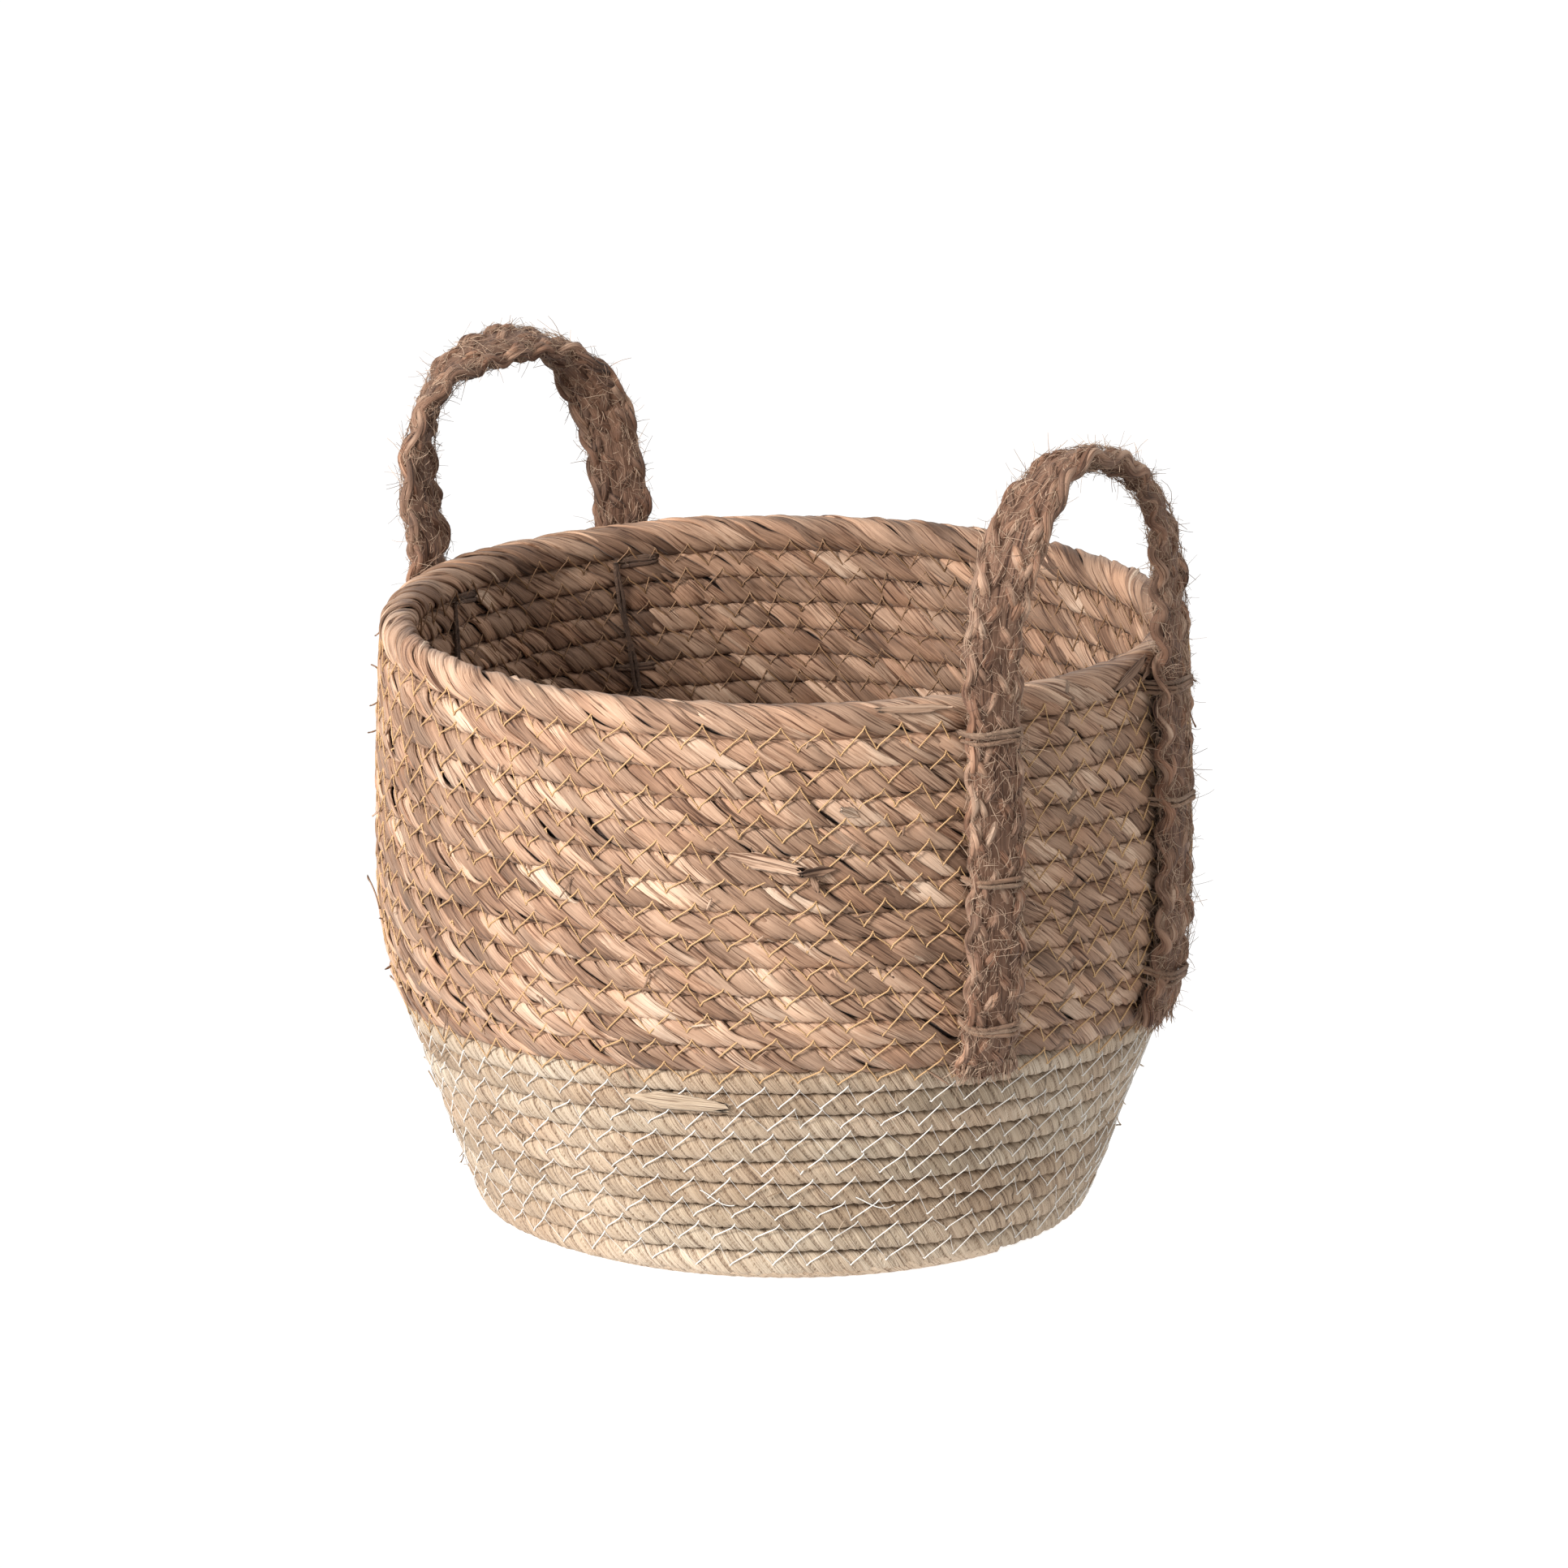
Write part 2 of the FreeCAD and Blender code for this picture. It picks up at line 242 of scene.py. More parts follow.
class Course:
    """One turn of rope: turns points beside the rope into points in space."""

    def __init__(self, rng, z, rope, square):
        self.square = square
        self.radius, self.height, self.slope = outline(z, rope / 2)
        self.rope = rope
        self.length = TAU * self.radius
        self.jitter = rng.uniform(0, TAU, 9)

    def place(self, along, turn, reach):
        """Point `along` the course (0..1), at angle `turn` round the rope and `reach` from it."""
        phi = TAU * along
        rounded = np.abs(np.cos(turn)) ** self.square + np.abs(np.sin(turn)) ** self.square
        reach = reach * rounded ** (-1 / self.square)
        out = reach * np.cos(turn)
        up = reach * np.sin(turn)
        uneven = WAVER * sum(np.sin(n * phi + self.jitter[n + 1]) / n for n in range(2, 8))
        r = self.radius + out * math.cos(self.slope) - up * math.sin(self.slope) + uneven
        z = self.height + out * math.sin(self.slope) + up * math.cos(self.slope)
        return polar(r, phi, z + dip(phi, self.height))


def leaf_section(rng, columns):
    """A flattened leaf's outline, from edge to edge and in height, with a few lengthwise folds."""
    a = circle(columns)
    across = np.cos(a)
    top = np.maximum(np.sin(a), 0) ** 0.32
    folds = 0.14 * np.cos(across * rng.uniform(5, 11) + rng.uniform(0, TAU)) * top
    under = np.minimum(np.sin(a), 0)
    return a, across, top + folds + 0.5 * under


def leaf(weave, rng, course, turns, lay, rows, columns, half, start, core, thickness, tone_range):
    """One leaf that winds along a whole course; its width, tuck and tone change as it goes."""
    t = np.linspace(0, 1, rows, endpoint=False)
    a, across, height = leaf_section(rng, columns)
    waves = rng.integers(5, 60, 7)
    half = half * np.clip(1 + wander(rng, t, 0.17, waves), 0.5, 1.6)
    core = core + wander(rng, t, 0.42 * MM, rng.integers(9, 60, 6))
    drift = wander(rng, t, 0.02, (1, 2, 3)) + wander(rng, t, 0.014, rng.integers(10, 40, 4))
    tilt = rng.uniform(0.40, 0.75) * MM * (1 + wander(rng, t, 0.4, rng.integers(6, 30, 4)))
    q = across[None, :] * half[:, None]
    turn = TAU * start - TAU * turns * t + TAU * drift
    turn = turn[:, None] + q * math.cos(lay) / (course.rope / 2)
    along = t[:, None] + q * math.sin(lay) / course.length
    reach = core[:, None] + thickness * height[None, :] + tilt[:, None] * across[None, :]
    points = course.place(along, turn, reach)
    fibre = grid(t[:, None] * course.length / math.cos(lay) + rng.uniform(0, 50), q,
                 np.sin(a)[None, :] * thickness)
    patches = wander(rng, t, 0.09, rng.integers(6, 46, 7)) + wander(rng, t, 0.04, (1, 2, 3))
    # Painted shade inside the basket: the inner face of every rope is given a darker, redder tone.
    inside = smooth(-np.cos(turn), -0.2, 0.3)
    paleness = np.clip(rng.normal(*tone_range) + patches, 0, 0.86)[:, None] - 0.13 * inside
    redness = clamp(0.45 + wander(rng, t, 0.3, rng.integers(3, 30, 5)))[:, None]
    # Painted shade: the leaf's underside and the edge that tucks under the next leaf get a low third
    # tone number.
    tucked = 0.62 * smooth(-across, 0.55, 0.98)
    unshaded = clamp(0.5 + 0.5 * height - tucked)[None, :]
    weave.add(points, fibre, grid(paleness, redness, unshaded), wrap_rows=True)


SLIVERS = 2
CORE_ROWS = 240
CORE_COLUMNS = 10


def rope_of_leaves(weave, rng, course, strands, lay, rows, columns, thickness, spread, tones):
    """Leaves twisted round each other along one course, S-laid, over a hidden core painted in shade
    colour.
    """
    turns = round(course.length * math.tan(lay) / (math.pi * course.rope))
    shares = rng.uniform(0.75, 1.35, strands)
    shares = shares / shares.sum()
    starts = np.cumsum(shares) - shares / 2
    for share, start in zip(shares, starts):
        half = share * math.pi * course.rope * math.cos(lay) * spread / 2
        core = course.rope / 2 - thickness
        leaf(weave, rng, course, turns, lay, rows, columns, half, start, core, thickness, tones)
    for _ in range(SLIVERS):
        half = rng.uniform(0.9, 1.6) * MM
        leaf(weave, rng, course, turns, lay, rows, 8, half, rng.uniform(0, 1),
             course.rope / 2 - thickness * 0.85, thickness * 0.75, (tones[0] - 0.08, 0.12))
    # Painted shade: the core is a dark tube that shows only through the gaps between the leaves.
    t = np.linspace(0, 1, CORE_ROWS, endpoint=False)[:, None]
    a = circle(CORE_COLUMNS)[None, :]
    reach = np.full((CORE_ROWS, CORE_COLUMNS), course.rope / 2 - thickness - 0.5 * MM)
    fibre = grid(t * course.length, np.cos(a) * course.rope / 2, np.sin(a) * course.rope / 2)
    weave.add(course.place(t, a, reach), fibre, (0.15, 0.5, 0.1), wrap_rows=True)


def rope_of_husk(weave, rng, course, rows, columns, lay, plies, tones):
    """Finely twisted husk rope: one tube with plies, creases and lumps raised on it."""
    turns = round(course.length * math.tan(lay) / (math.pi * course.rope))
    t = np.linspace(0, 1, rows, endpoint=False)
    a = circle(columns)
    shift = wander(rng, t, 0.45, (1, 2, 3, 5, 8, 13, 21, 34))
    twist = a[None, :] + TAU * turns * t[:, None] + shift[:, None]
    ply = np.abs(np.sin(plies * twist / 2 + 0.5 * np.sin(twist + 9 * TAU * t[:, None]))) ** 0.45
    crease = np.abs(np.sin(2.5 * plies * twist + 2.0 * np.sin(TAU * 17 * t[:, None])))
    girth = wander(rng, t, 0.30 * MM, (2, 5, 9, 14, 23, 37, 51))[:, None]
    lumps = (np.sin(33 * TAU * t[:, None] + 2 * a[None, :])
             * np.sin(21 * TAU * t[:, None] - a[None, :]))
    reach = (course.rope / 2 - 1.1 * MM + 0.75 * MM * ply + 0.28 * MM * crease + girth
             + 0.25 * MM * lumps)
    points = course.place(t[:, None], a[None, :], reach)
    fibre = grid(t[:, None] * course.length / math.cos(lay) + rng.uniform(0, 50),
                 np.cos(twist) * course.rope / 2, np.sin(twist) * course.rope / 2)
    paleness = rng.normal(*tones) + wander(rng, t, 0.13, (1, 3, 7, 12, 19, 30))
    redness = 0.3 + wander(rng, t, 0.3, (2, 5, 9, 16, 25))
    # Painted shade in the grooves between plies and in the creases.
    unshaded = ply * (0.55 + 0.45 * crease)
    tone = grid(clamp(paleness)[:, None], clamp(redness)[:, None], unshaded)
    weave.add(points, fibre, tone, wrap_rows=True)


# ---------------------------------------------------------------- materials

class Surface:
    """A small helper that builds a node material."""

    def __init__(self, name):
        self.material = bpy.data.materials.new(name)
        self.material.use_nodes = True
        self.tree = self.material.node_tree
        self.shader = self.tree.nodes["Principled BSDF"]

    def node(self, kind, **settings):
        node = self.tree.nodes.new(kind)
        for key, value in settings.items():
            if key in node.inputs:
                node.inputs[key].default_value = value
            else:
                setattr(node, key, value)
        return node

    def link(self, source, target):
        self.tree.links.new(source, target)

    def attribute(self, name):
        return self.node("ShaderNodeAttribute", attribute_name=name).outputs["Vector"]

    def place(self):
        return self.node("ShaderNodeTexCoord").outputs["Object"]

    def split(self, vector):
        node = self.node("ShaderNodeSeparateXYZ")
        self.link(vector, node.inputs[0])
        return node.outputs

    def noise(self, vector, scale, detail=3.0, roughness=0.55):
        node = self.node("ShaderNodeTexNoise", Scale=scale, Detail=detail, Roughness=roughness)
        self.link(vector, node.inputs["Vector"])
        return node.outputs["Fac"]

    def drawn_out(self, fibre, along, across, detail, roughness):
        """Noise with `along` patterns per metre of fibre and `across` per metre of its width."""
        node = self.node("ShaderNodeMapping")
        node.inputs["Scale"].default_value = (along, across, across)
        self.link(fibre, node.inputs["Vector"])
        return self.noise(node.outputs["Vector"], 1.0, detail, roughness)

    def ramp(self, value, stops):
        node = self.node("ShaderNodeValToRGB")
        while len(node.color_ramp.elements) < len(stops):
            node.color_ramp.elements.new(0.5)
        for element, (place, colour) in zip(node.color_ramp.elements, stops):
            element.position = place
            element.color = (*colour, 1.0)
        self.link(value, node.inputs["Fac"])
        return node.outputs["Color"]

    def math(self, operation, first, second=0.5, clamp=False):
        node = self.node("ShaderNodeMath", operation=operation, use_clamp=clamp)
        for socket, value in zip(node.inputs, (first, second)):
            if isinstance(value, (int, float)):
                socket.default_value = value
            else:
                self.link(value, socket)
        return node.outputs[0]

    def scale_about(self, value, gain, middle=0.0):
        """value * gain, moved so that a value of 0.5 comes out as `middle`."""
        out = self.math("MULTIPLY_ADD", value, gain)
        out.node.inputs[2].default_value = middle - gain / 2
        return out

    def mix(self, factor, first, second, blend="MIX"):
        node = self.node("ShaderNodeMix", data_type="RGBA", blend_type=blend)
        for socket, value in ((node.inputs["Factor"], factor), (node.inputs[6], first),
                              (node.inputs[7], second)):
            if isinstance(value, (int, float)):
                socket.default_value = value
            elif isinstance(value, tuple):
                socket.default_value = (*value, 1.0)
            else:
                self.link(value, socket)
        return node.outputs[2]

    def bump(self, height, distance, strength):
        node = self.node("ShaderNodeBump", Strength=strength, Distance=distance)
        self.link(height, node.inputs["Height"])
        return node.outputs["Normal"]

    def finish(self, colour, roughness, normal, **constants):
        self.link(colour, self.shader.inputs["Base Color"])
        self.link(roughness, self.shader.inputs["Roughness"])
        self.link(normal, self.shader.inputs["Normal"])
        for key, value in constants.items():
            self.shader.inputs[key.replace("_", " ")].default_value = value
        return self.material


def plant_material(name, stops, shade_colour, streaks, blotch, lines=0.7):
    """Dry leaf: long fibres, a different tone in each leaf, painted shade where leaves tuck under.

    The attribute `tone` holds paleness, redness and how far each point is out of painted shade;
    `fibre` runs along the leaf.
    `streaks` and `blotch` are patterns per metre.
    """
    s = Surface(name)
    fibre = s.attribute("fibre")
    paleness, redness, unshaded = s.split(s.attribute("tone"))
    long_lines = s.drawn_out(fibre, 22, streaks, 5, 0.65)
    fine_lines = s.drawn_out(fibre, 80, streaks * 3.4, 3, 0.6)
    cracks = s.drawn_out(fibre, 34, streaks * 1.5, 2, 0.5)
    patches = s.noise(s.place(), blotch, 3, 0.6)
    spots = s.drawn_out(fibre, 160, 420, 2, 0.5)
    base = s.math("ADD", s.scale_about(long_lines, 0.7), paleness)
    base = s.math("ADD", base, s.scale_about(patches, 0.62), clamp=True)
    colour = s.ramp(base, tuple(zip((0.0, 0.28, 0.55, 0.88), stops)))
    reddish = s.mix(1.0, colour, (1.08, 0.80, 0.62), "MULTIPLY")
    colour = s.mix(s.math("MULTIPLY", redness, 0.5), colour, reddish)
    lined = s.ramp(fine_lines, ((0.38, (0.36, 0.27, 0.21)), (0.55, (1, 1, 1))))
    bundles = s.drawn_out(fibre, 15, streaks * 0.45, 2, 0.5)
    bundled = s.ramp(bundles, ((0.40, (0.15, 0.15, 0.15)), (0.62, (1, 1, 1))))
    colour = s.mix(s.math("MULTIPLY", bundled, lines), colour, lined, "MULTIPLY")
    cracked = s.ramp(cracks, ((0.33, (0.26, 0.18, 0.13)), (0.42, (1, 1, 1))))
    colour = s.mix(lines, colour, cracked, "MULTIPLY")
    specks = s.ramp(spots, ((0.22, (0.35, 0.26, 0.2)), (0.30, (1, 1, 1))))
    colour = s.mix(0.6, colour, specks, "MULTIPLY")
    # Painted shade: grooves, gaps and tucked leaf edges (low third tone number) are darkened towards
    # the shade colour.
    shade = s.ramp(unshaded, ((0.16, shade_colour), (0.60, (1, 1, 1))))
    colour = s.mix(1.0, colour, shade, "MULTIPLY")
    roughness = s.scale_about(fine_lines, 0.3, 0.62)
    height = s.math("ADD", s.math("MULTIPLY", long_lines, 1.3), s.math("MULTIPLY", cracks, 1.1))
    height = s.math("ADD", height, s.math("MULTIPLY", fine_lines, 0.7))
    normal = s.bump(height, 0.0006, 0.9)
    return s.finish(colour, roughness, normal, Specular_IOR_Level=0.32, Sheen_Weight=0.06)


def thread_material(name, dark, light):
    """Twisted sewing thread."""
    s = Surface(name)
    fibre = s.attribute("fibre")
    wave = s.node("ShaderNodeTexWave", Scale=420.0, Distortion=1.5, Detail=1.0)
    s.link(fibre, wave.inputs["Vector"])
    patches = s.noise(s.place(), 60, 2)
    colour = s.ramp(s.math("ADD", s.math("MULTIPLY", wave.outputs["Fac"], 0.5),
                           s.math("MULTIPLY", patches, 0.6)), ((0.2, dark), (0.75, light)))
    roughness = s.scale_about(patches, 0.2, 0.45)
    normal = s.bump(wave.outputs["Fac"], 0.0001, 0.6)
    return s.finish(colour, roughness, normal, Specular_IOR_Level=0.5)


# The dark colour given after each material's ramp stops is painted shade for grooves, gaps and tucked
# edges.
RUSH = plant_material("brown_rush_leaf", ((0.12, 0.068, 0.042), (0.28, 0.175, 0.115),
                                          (0.46, 0.305, 0.21), (0.68, 0.52, 0.39)),
                      shade_colour=(0.12, 0.075, 0.05), streaks=560, blotch=14, lines=1.0)
HUSK = plant_material("pale_husk", ((0.26, 0.18, 0.11), (0.42, 0.32, 0.22), (0.58, 0.475, 0.355),
                                    (0.74, 0.66, 0.54)),
                      shade_colour=(0.36, 0.27, 0.19), streaks=800, blotch=20, lines=0.85)
JUTE = plant_material("jute_fibre", ((0.075, 0.039, 0.024), (0.175, 0.098, 0.063),
                                     (0.32, 0.195, 0.131), (0.56, 0.40, 0.29)),
                      shade_colour=(0.24, 0.16, 0.115), streaks=620, blotch=30, lines=1.0)
FINE = {"shade_colour": (0.4, 0.3, 0.25), "streaks": 1500, "blotch": 40}
TWINE = plant_material("jute_twine", ((0.07, 0.042, 0.028), (0.19, 0.12, 0.08), (0.36, 0.245, 0.17),
                                      (0.54, 0.41, 0.30)), **FINE)
HAIR = plant_material("jute_hair", ((0.11, 0.06, 0.038), (0.25, 0.145, 0.095), (0.42, 0.27, 0.185),
                                    (0.64, 0.48, 0.35)), **FINE)
GOLD = thread_material("golden_thread", (0.30, 0.16, 0.065), (0.60, 0.38, 0.18))
# Same golden thread for the inside stitches, painted darker as shade inside the basket.
GOLD_IN_PAINTED_SHADE = thread_material("golden_thread_painted_shade", (0.12, 0.06, 0.03), (0.30, 0.17, 0.085))
WHITE = thread_material("white_thread", (0.50, 0.47, 0.43), (0.82, 0.80, 0.76))


# ---------------------------------------------------------------- threads, plaits and hairs

def unit(vectors):
    return vectors / np.maximum(np.linalg.norm(vectors, axis=-1, keepdims=True), 1e-12)


def outward(points):
    """Level direction away from the basket's axis at each point."""
    away = points.copy()
    away[..., 2] = 0
    return unit(away)


def rings(points, radius, sides, up, lobes=0.0, twist=0.0):
    """Rings round lines of points (..., rows, 3), and their fibre; `lobes` raises two plies."""
    along = unit(np.gradient(points, axis=-2))
    side = unit(np.cross(along, up))
    other = np.cross(side, along)
    a = circle(sides)
    step = np.linalg.norm(np.diff(points, axis=-2, prepend=points[..., :1, :]), axis=-1)
    travel = np.cumsum(step, axis=-1)[..., None]
    reach = np.asarray(radius)[..., None] * (1 + lobes * np.cos(2 * (a + twist * travel)))
    ring = points[..., None, :] + reach[..., None] * (
        np.cos(a)[:, None] * side[..., None, :] + np.sin(a)[:, None] * other[..., None, :])
    turn = a + twist * travel
    return ring, grid(travel, np.cos(turn) * reach, np.sin(turn) * reach)


def add_lines(weave, points, radius, sides, up, tone, rng):
    """Thin tubes along a batch of lines (batch, rows, 3)."""
    ring, fibre = rings(points, radius, sides, up)
    batch, rows = points.shape[:2]
    fibre[..., 0] += rng.uniform(0, 50, batch)[:, None, None]
    index = np.arange(batch * rows * sides).reshape(batch, rows, sides) + weave.count
    weave.store(ring, fibre, tone, np.concatenate([index, index[..., :1]], -1))


def zigzag(weave, rng, lower, upper, inside, thick=0.36 * MM, thin=0.27 * MM):
    """Machine zigzag over the join between two courses: a long stitch up, a short one back down."""
    pitch = 15.8 * MM
    climb = 9.8 * MM
    count = round(lower.length / pitch)
    start = (np.arange(count) + rng.uniform(-0.10, 0.10, count) + rng.uniform(0, 1)) / count
    middle = 0.5 * (lower.length + upper.length)
    climb_share = climb / middle * rng.uniform(0.85, 1.15, count)
    following = np.roll(start, -1)
    following[following < start] += 1
    low = rng.uniform(0, 20, count)
    high = rng.uniform(0, 20, count)
    sign = -1 if inside else 1

    def on(course, along, degrees, lift):
        """Point on a course's outer or inner side, `degrees` above its crest."""
        turn = np.radians(180 - degrees if inside else degrees)
        reach = np.broadcast_to(course.rope / 2 + lift, turn.shape)
        return course.place(along, turn, reach)

    def stitch(first, second, lift, radius):
        (a_along, a_turn), (b_along, b_turn) = first, second
        step = (b_along - a_along) * 0.06
        line = np.stack([
            on(lower, a_along - step, a_turn - 3, -2.0 * MM),
            on(lower, a_along, a_turn, lift * 0.2),
            on(lower, a_along + 2 * step, a_turn + 14, lift),
            on(upper, b_along - 2 * step, -b_turn - 14, lift),
            on(upper, b_along, -b_turn, lift * 0.2),
            on(upper, b_along + step, -b_turn + 3, -2.0 * MM)], 1)
        add_lines(weave, line, np.full(line.shape[:2], radius), 6, outward(line) * sign,
                  (0.6, 0.5, 1.0), rng)

    top = start + climb_share
    stitch((start, low), (top, high), 0.30 * MM, thick)
    stitch((following, low[np.r_[1:count, 0]]), (top, high), 0.10 * MM, thin)


# ---------------------------------------------------------------- handles

HANDLE_SPREAD = 18.25
HANDLE_MIDDLE = {"right": 3.5, "left": 178.5}
PLAIT_WIDTH = 25.0 * MM
PLAIT_THICKNESS = 12.0 * MM
LEG_GAP = 0.3 * MM
LEG_FOOT = 99.0 * MM
HINGE_HEIGHT = RIM_HEIGHT + 6.5 * MM
LOOP_RISE = {"right": 86.0 * MM, "left": 78.0 * MM}
LOOP_LEAN = {"right": math.radians(-1.0), "left": math.radians(11.0)}
LOOP_SKEW = {"right": -11.0 * MM, "left": -8.0 * MM}
LOOP_SQUARENESS = {"right": (1.5, 2.3), "left": (2.2, 2.8)}
LOOP_TURN = math.radians(105.0)
LOOP_STRAIGHT = 9.0 * MM
LOOP_FREE = (262.0 * MM, 290.0 * MM)
YARNS = 7
YARN_RADIUS = 2.6 * MM
PLAIT_PERIOD = 126.0 * MM
EDGE_DWELL = 0.9
LYING_HAIRS = 6800
STANDING_HAIRS = 1100
PLIES = 3
PLY_RADIUS = 1.55 * MM
PLY_PITCH = 46.0 * MM
TIE_HEIGHTS = {
    "right_front": (121.0, 178.0, 244.0),
    "right_rear": (126.0, 193.0, 244.0),
    "left_front": (124.0, 184.0, 244.0),
    "left_rear": (122.0, 190.0, 244.0),
}
TIE_NAMES = ("lower", "middle", "upper")
TIE_WRAPS = {"lower": (-1.7, 0.3, 2.1), "middle": (-1.1, 1.1), "upper": (-1.9, 0.0, 1.8)}
TWINE_TWIST = 1500.0
HAIR_UP = np.array((0.31, 0.52, 0.79))


def tie_height(z):
    """Ties pass through the joins between courses."""
    pitch = (RIM_JOIN - COLOUR_HEIGHT) / BROWN_COURSES
    return COLOUR_HEIGHT + pitch * round((z * MM - COLOUR_HEIGHT) / pitch)


def is_clockwise(side, end):
    """Whether a leg stands clockwise of its handle's middle, seen from above."""
    return (side == "right") == (end == "front")


def leg_angle(side, end):
    spread = -HANDLE_SPREAD if is_clockwise(side, end) else HANDLE_SPREAD
    return math.radians(HANDLE_MIDDLE[side] + spread)


class Route:
    """Middle line of a whole handle: up the clockwise leg, over the loop and down the other leg."""

    def __init__(self, side, rng, step=1.5 * MM):
        self.side = side
        self.ends = sorted(("front", "rear"), key=lambda end: not is_clockwise(side, end))
        depth = -(LEG_GAP + PLAIT_THICKNESS / 2)
        radius = outline(RIM_HEIGHT, depth)[0]
        spread = math.radians(HANDLE_SPREAD)
        middle = math.radians(HANDLE_MIDDLE[side])
        angles = [leg_angle(side, end) for end in self.ends]
        places = [outline(z, depth) for z in np.arange(LEG_FOOT, RIM_HEIGHT, step)]
        legs = [np.array([polar(r, angle, z) for r, z, _ in places]) for angle in angles]
        loop, turn = self.loop(radius * math.cos(spread), radius * math.sin(spread), middle)
        first, last = len(legs[0]), len(legs[1])
        line = np.concatenate([legs[0], loop, legs[1][::-1]])
        azimuth = np.concatenate([np.full(first, angles[0]), np.linspace(*angles, len(loop)),
                                  np.full(last, angles[1])])
        turn = np.concatenate([np.zeros(first), turn, np.zeros(last)])
        self.line, azimuth, turn = self.even(line, azimuth, turn, step)
        self.length = step * (len(self.line) - 1)
        t = np.linspace(0, 1, len(self.line))
        free = smooth(self.line[:, 2], *LOOP_FREE)
        for k, size in enumerate((0.9, 0.9, 0.5)):
            self.line[:, k] += wander(rng, t, size * MM, (3, 5, 8, 11)) * free
        self.along = unit(np.gradient(self.line, axis=0))
        radial = polar(1.0, azimuth, 0.0)
        level = unit(np.cross(self.along, radial))
        radial = np.cross(level, self.along)
        self.deep = radial * np.cos(turn)[:, None] - level * np.sin(turn)[:, None]
        self.across = np.cross(self.along, self.deep)

    def loop(self, plane, half, middle):
        """Points of the free loop, and how far its flat face has turned outward and up at each."""
        t = np.linspace(math.pi, 0, 181)
        lean = LOOP_LEAN[self.side]
        across, rise = np.cos(t), np.sin(t)
        power = 2 / np.where(across < 0, *LOOP_SQUARENESS[self.side])
        reach = np.abs(across) ** power
        y = np.sign(across) * half * reach + LOOP_SKEW[self.side] * (1 - reach)
        up = LOOP_STRAIGHT + (LOOP_RISE[self.side] - LOOP_STRAIGHT) * np.maximum(rise, 0) ** power
        straight = np.array([-5.0, 0.0, 5.0]) * MM
        y = np.concatenate([np.full(3, -half), y, np.full(3, half)])
        up = np.concatenate([straight, up, straight[::-1]])
        turn = LOOP_TURN * np.concatenate([np.zeros(3), (1 - np.cos(2 * t)) / 2, np.zeros(3)])
        out = plane + up * math.sin(lean)
        return beside(out, y, HINGE_HEIGHT + up * math.cos(lean), middle), turn

    @staticmethod
    def even(line, azimuth, turn, step):
        """Resample to equal steps and take out kinks."""
        travel = np.concatenate([[0], np.cumsum(np.linalg.norm(np.diff(line, axis=0), axis=1))])
        marks = np.arange(0, travel[-1], step)
        columns = np.column_stack([line, azimuth, turn])
        evened = np.stack([np.interp(marks, travel, column) for column in columns.T], -1)
        kernel = np.hanning(11) / np.hanning(11).sum()
        padded = np.concatenate([np.repeat(evened[:1], 5, 0), evened, np.repeat(evened[-1:], 5, 0)])
        for k in range(padded.shape[1]):
            padded[5:-5, k] = np.convolve(padded[:, k], kernel, "valid")
        evened = padded[5:-5]
        return evened[:, :3], evened[:, 3], evened[:, 4]

    def beside(self, place, across, deep):
        """Points off the middle line, across the plait and out of its face."""
        return (self.line[place] + self.across[place] * across[..., None]
                + self.deep[place] * deep[..., None])

    def pinch(self):
        """How narrow the plait is pulled along its length by its ties (1 is free)."""
        z = self.line[:, 2]
        width = np.ones(len(z))
        half = len(z) // 2
        for part, end in ((slice(0, half), self.ends[0]), (slice(half, None), self.ends[1])):
            for height in TIE_HEIGHTS[f"{self.side}_{end}"]:
                width[part] -= 0.09 * np.exp(-((z[part] - tie_height(height)) / (7 * MM)) ** 2)
            width[part] += 0.12 * np.exp(-((z[part] - LEG_FOOT) / (9 * MM)) ** 2)
        return width


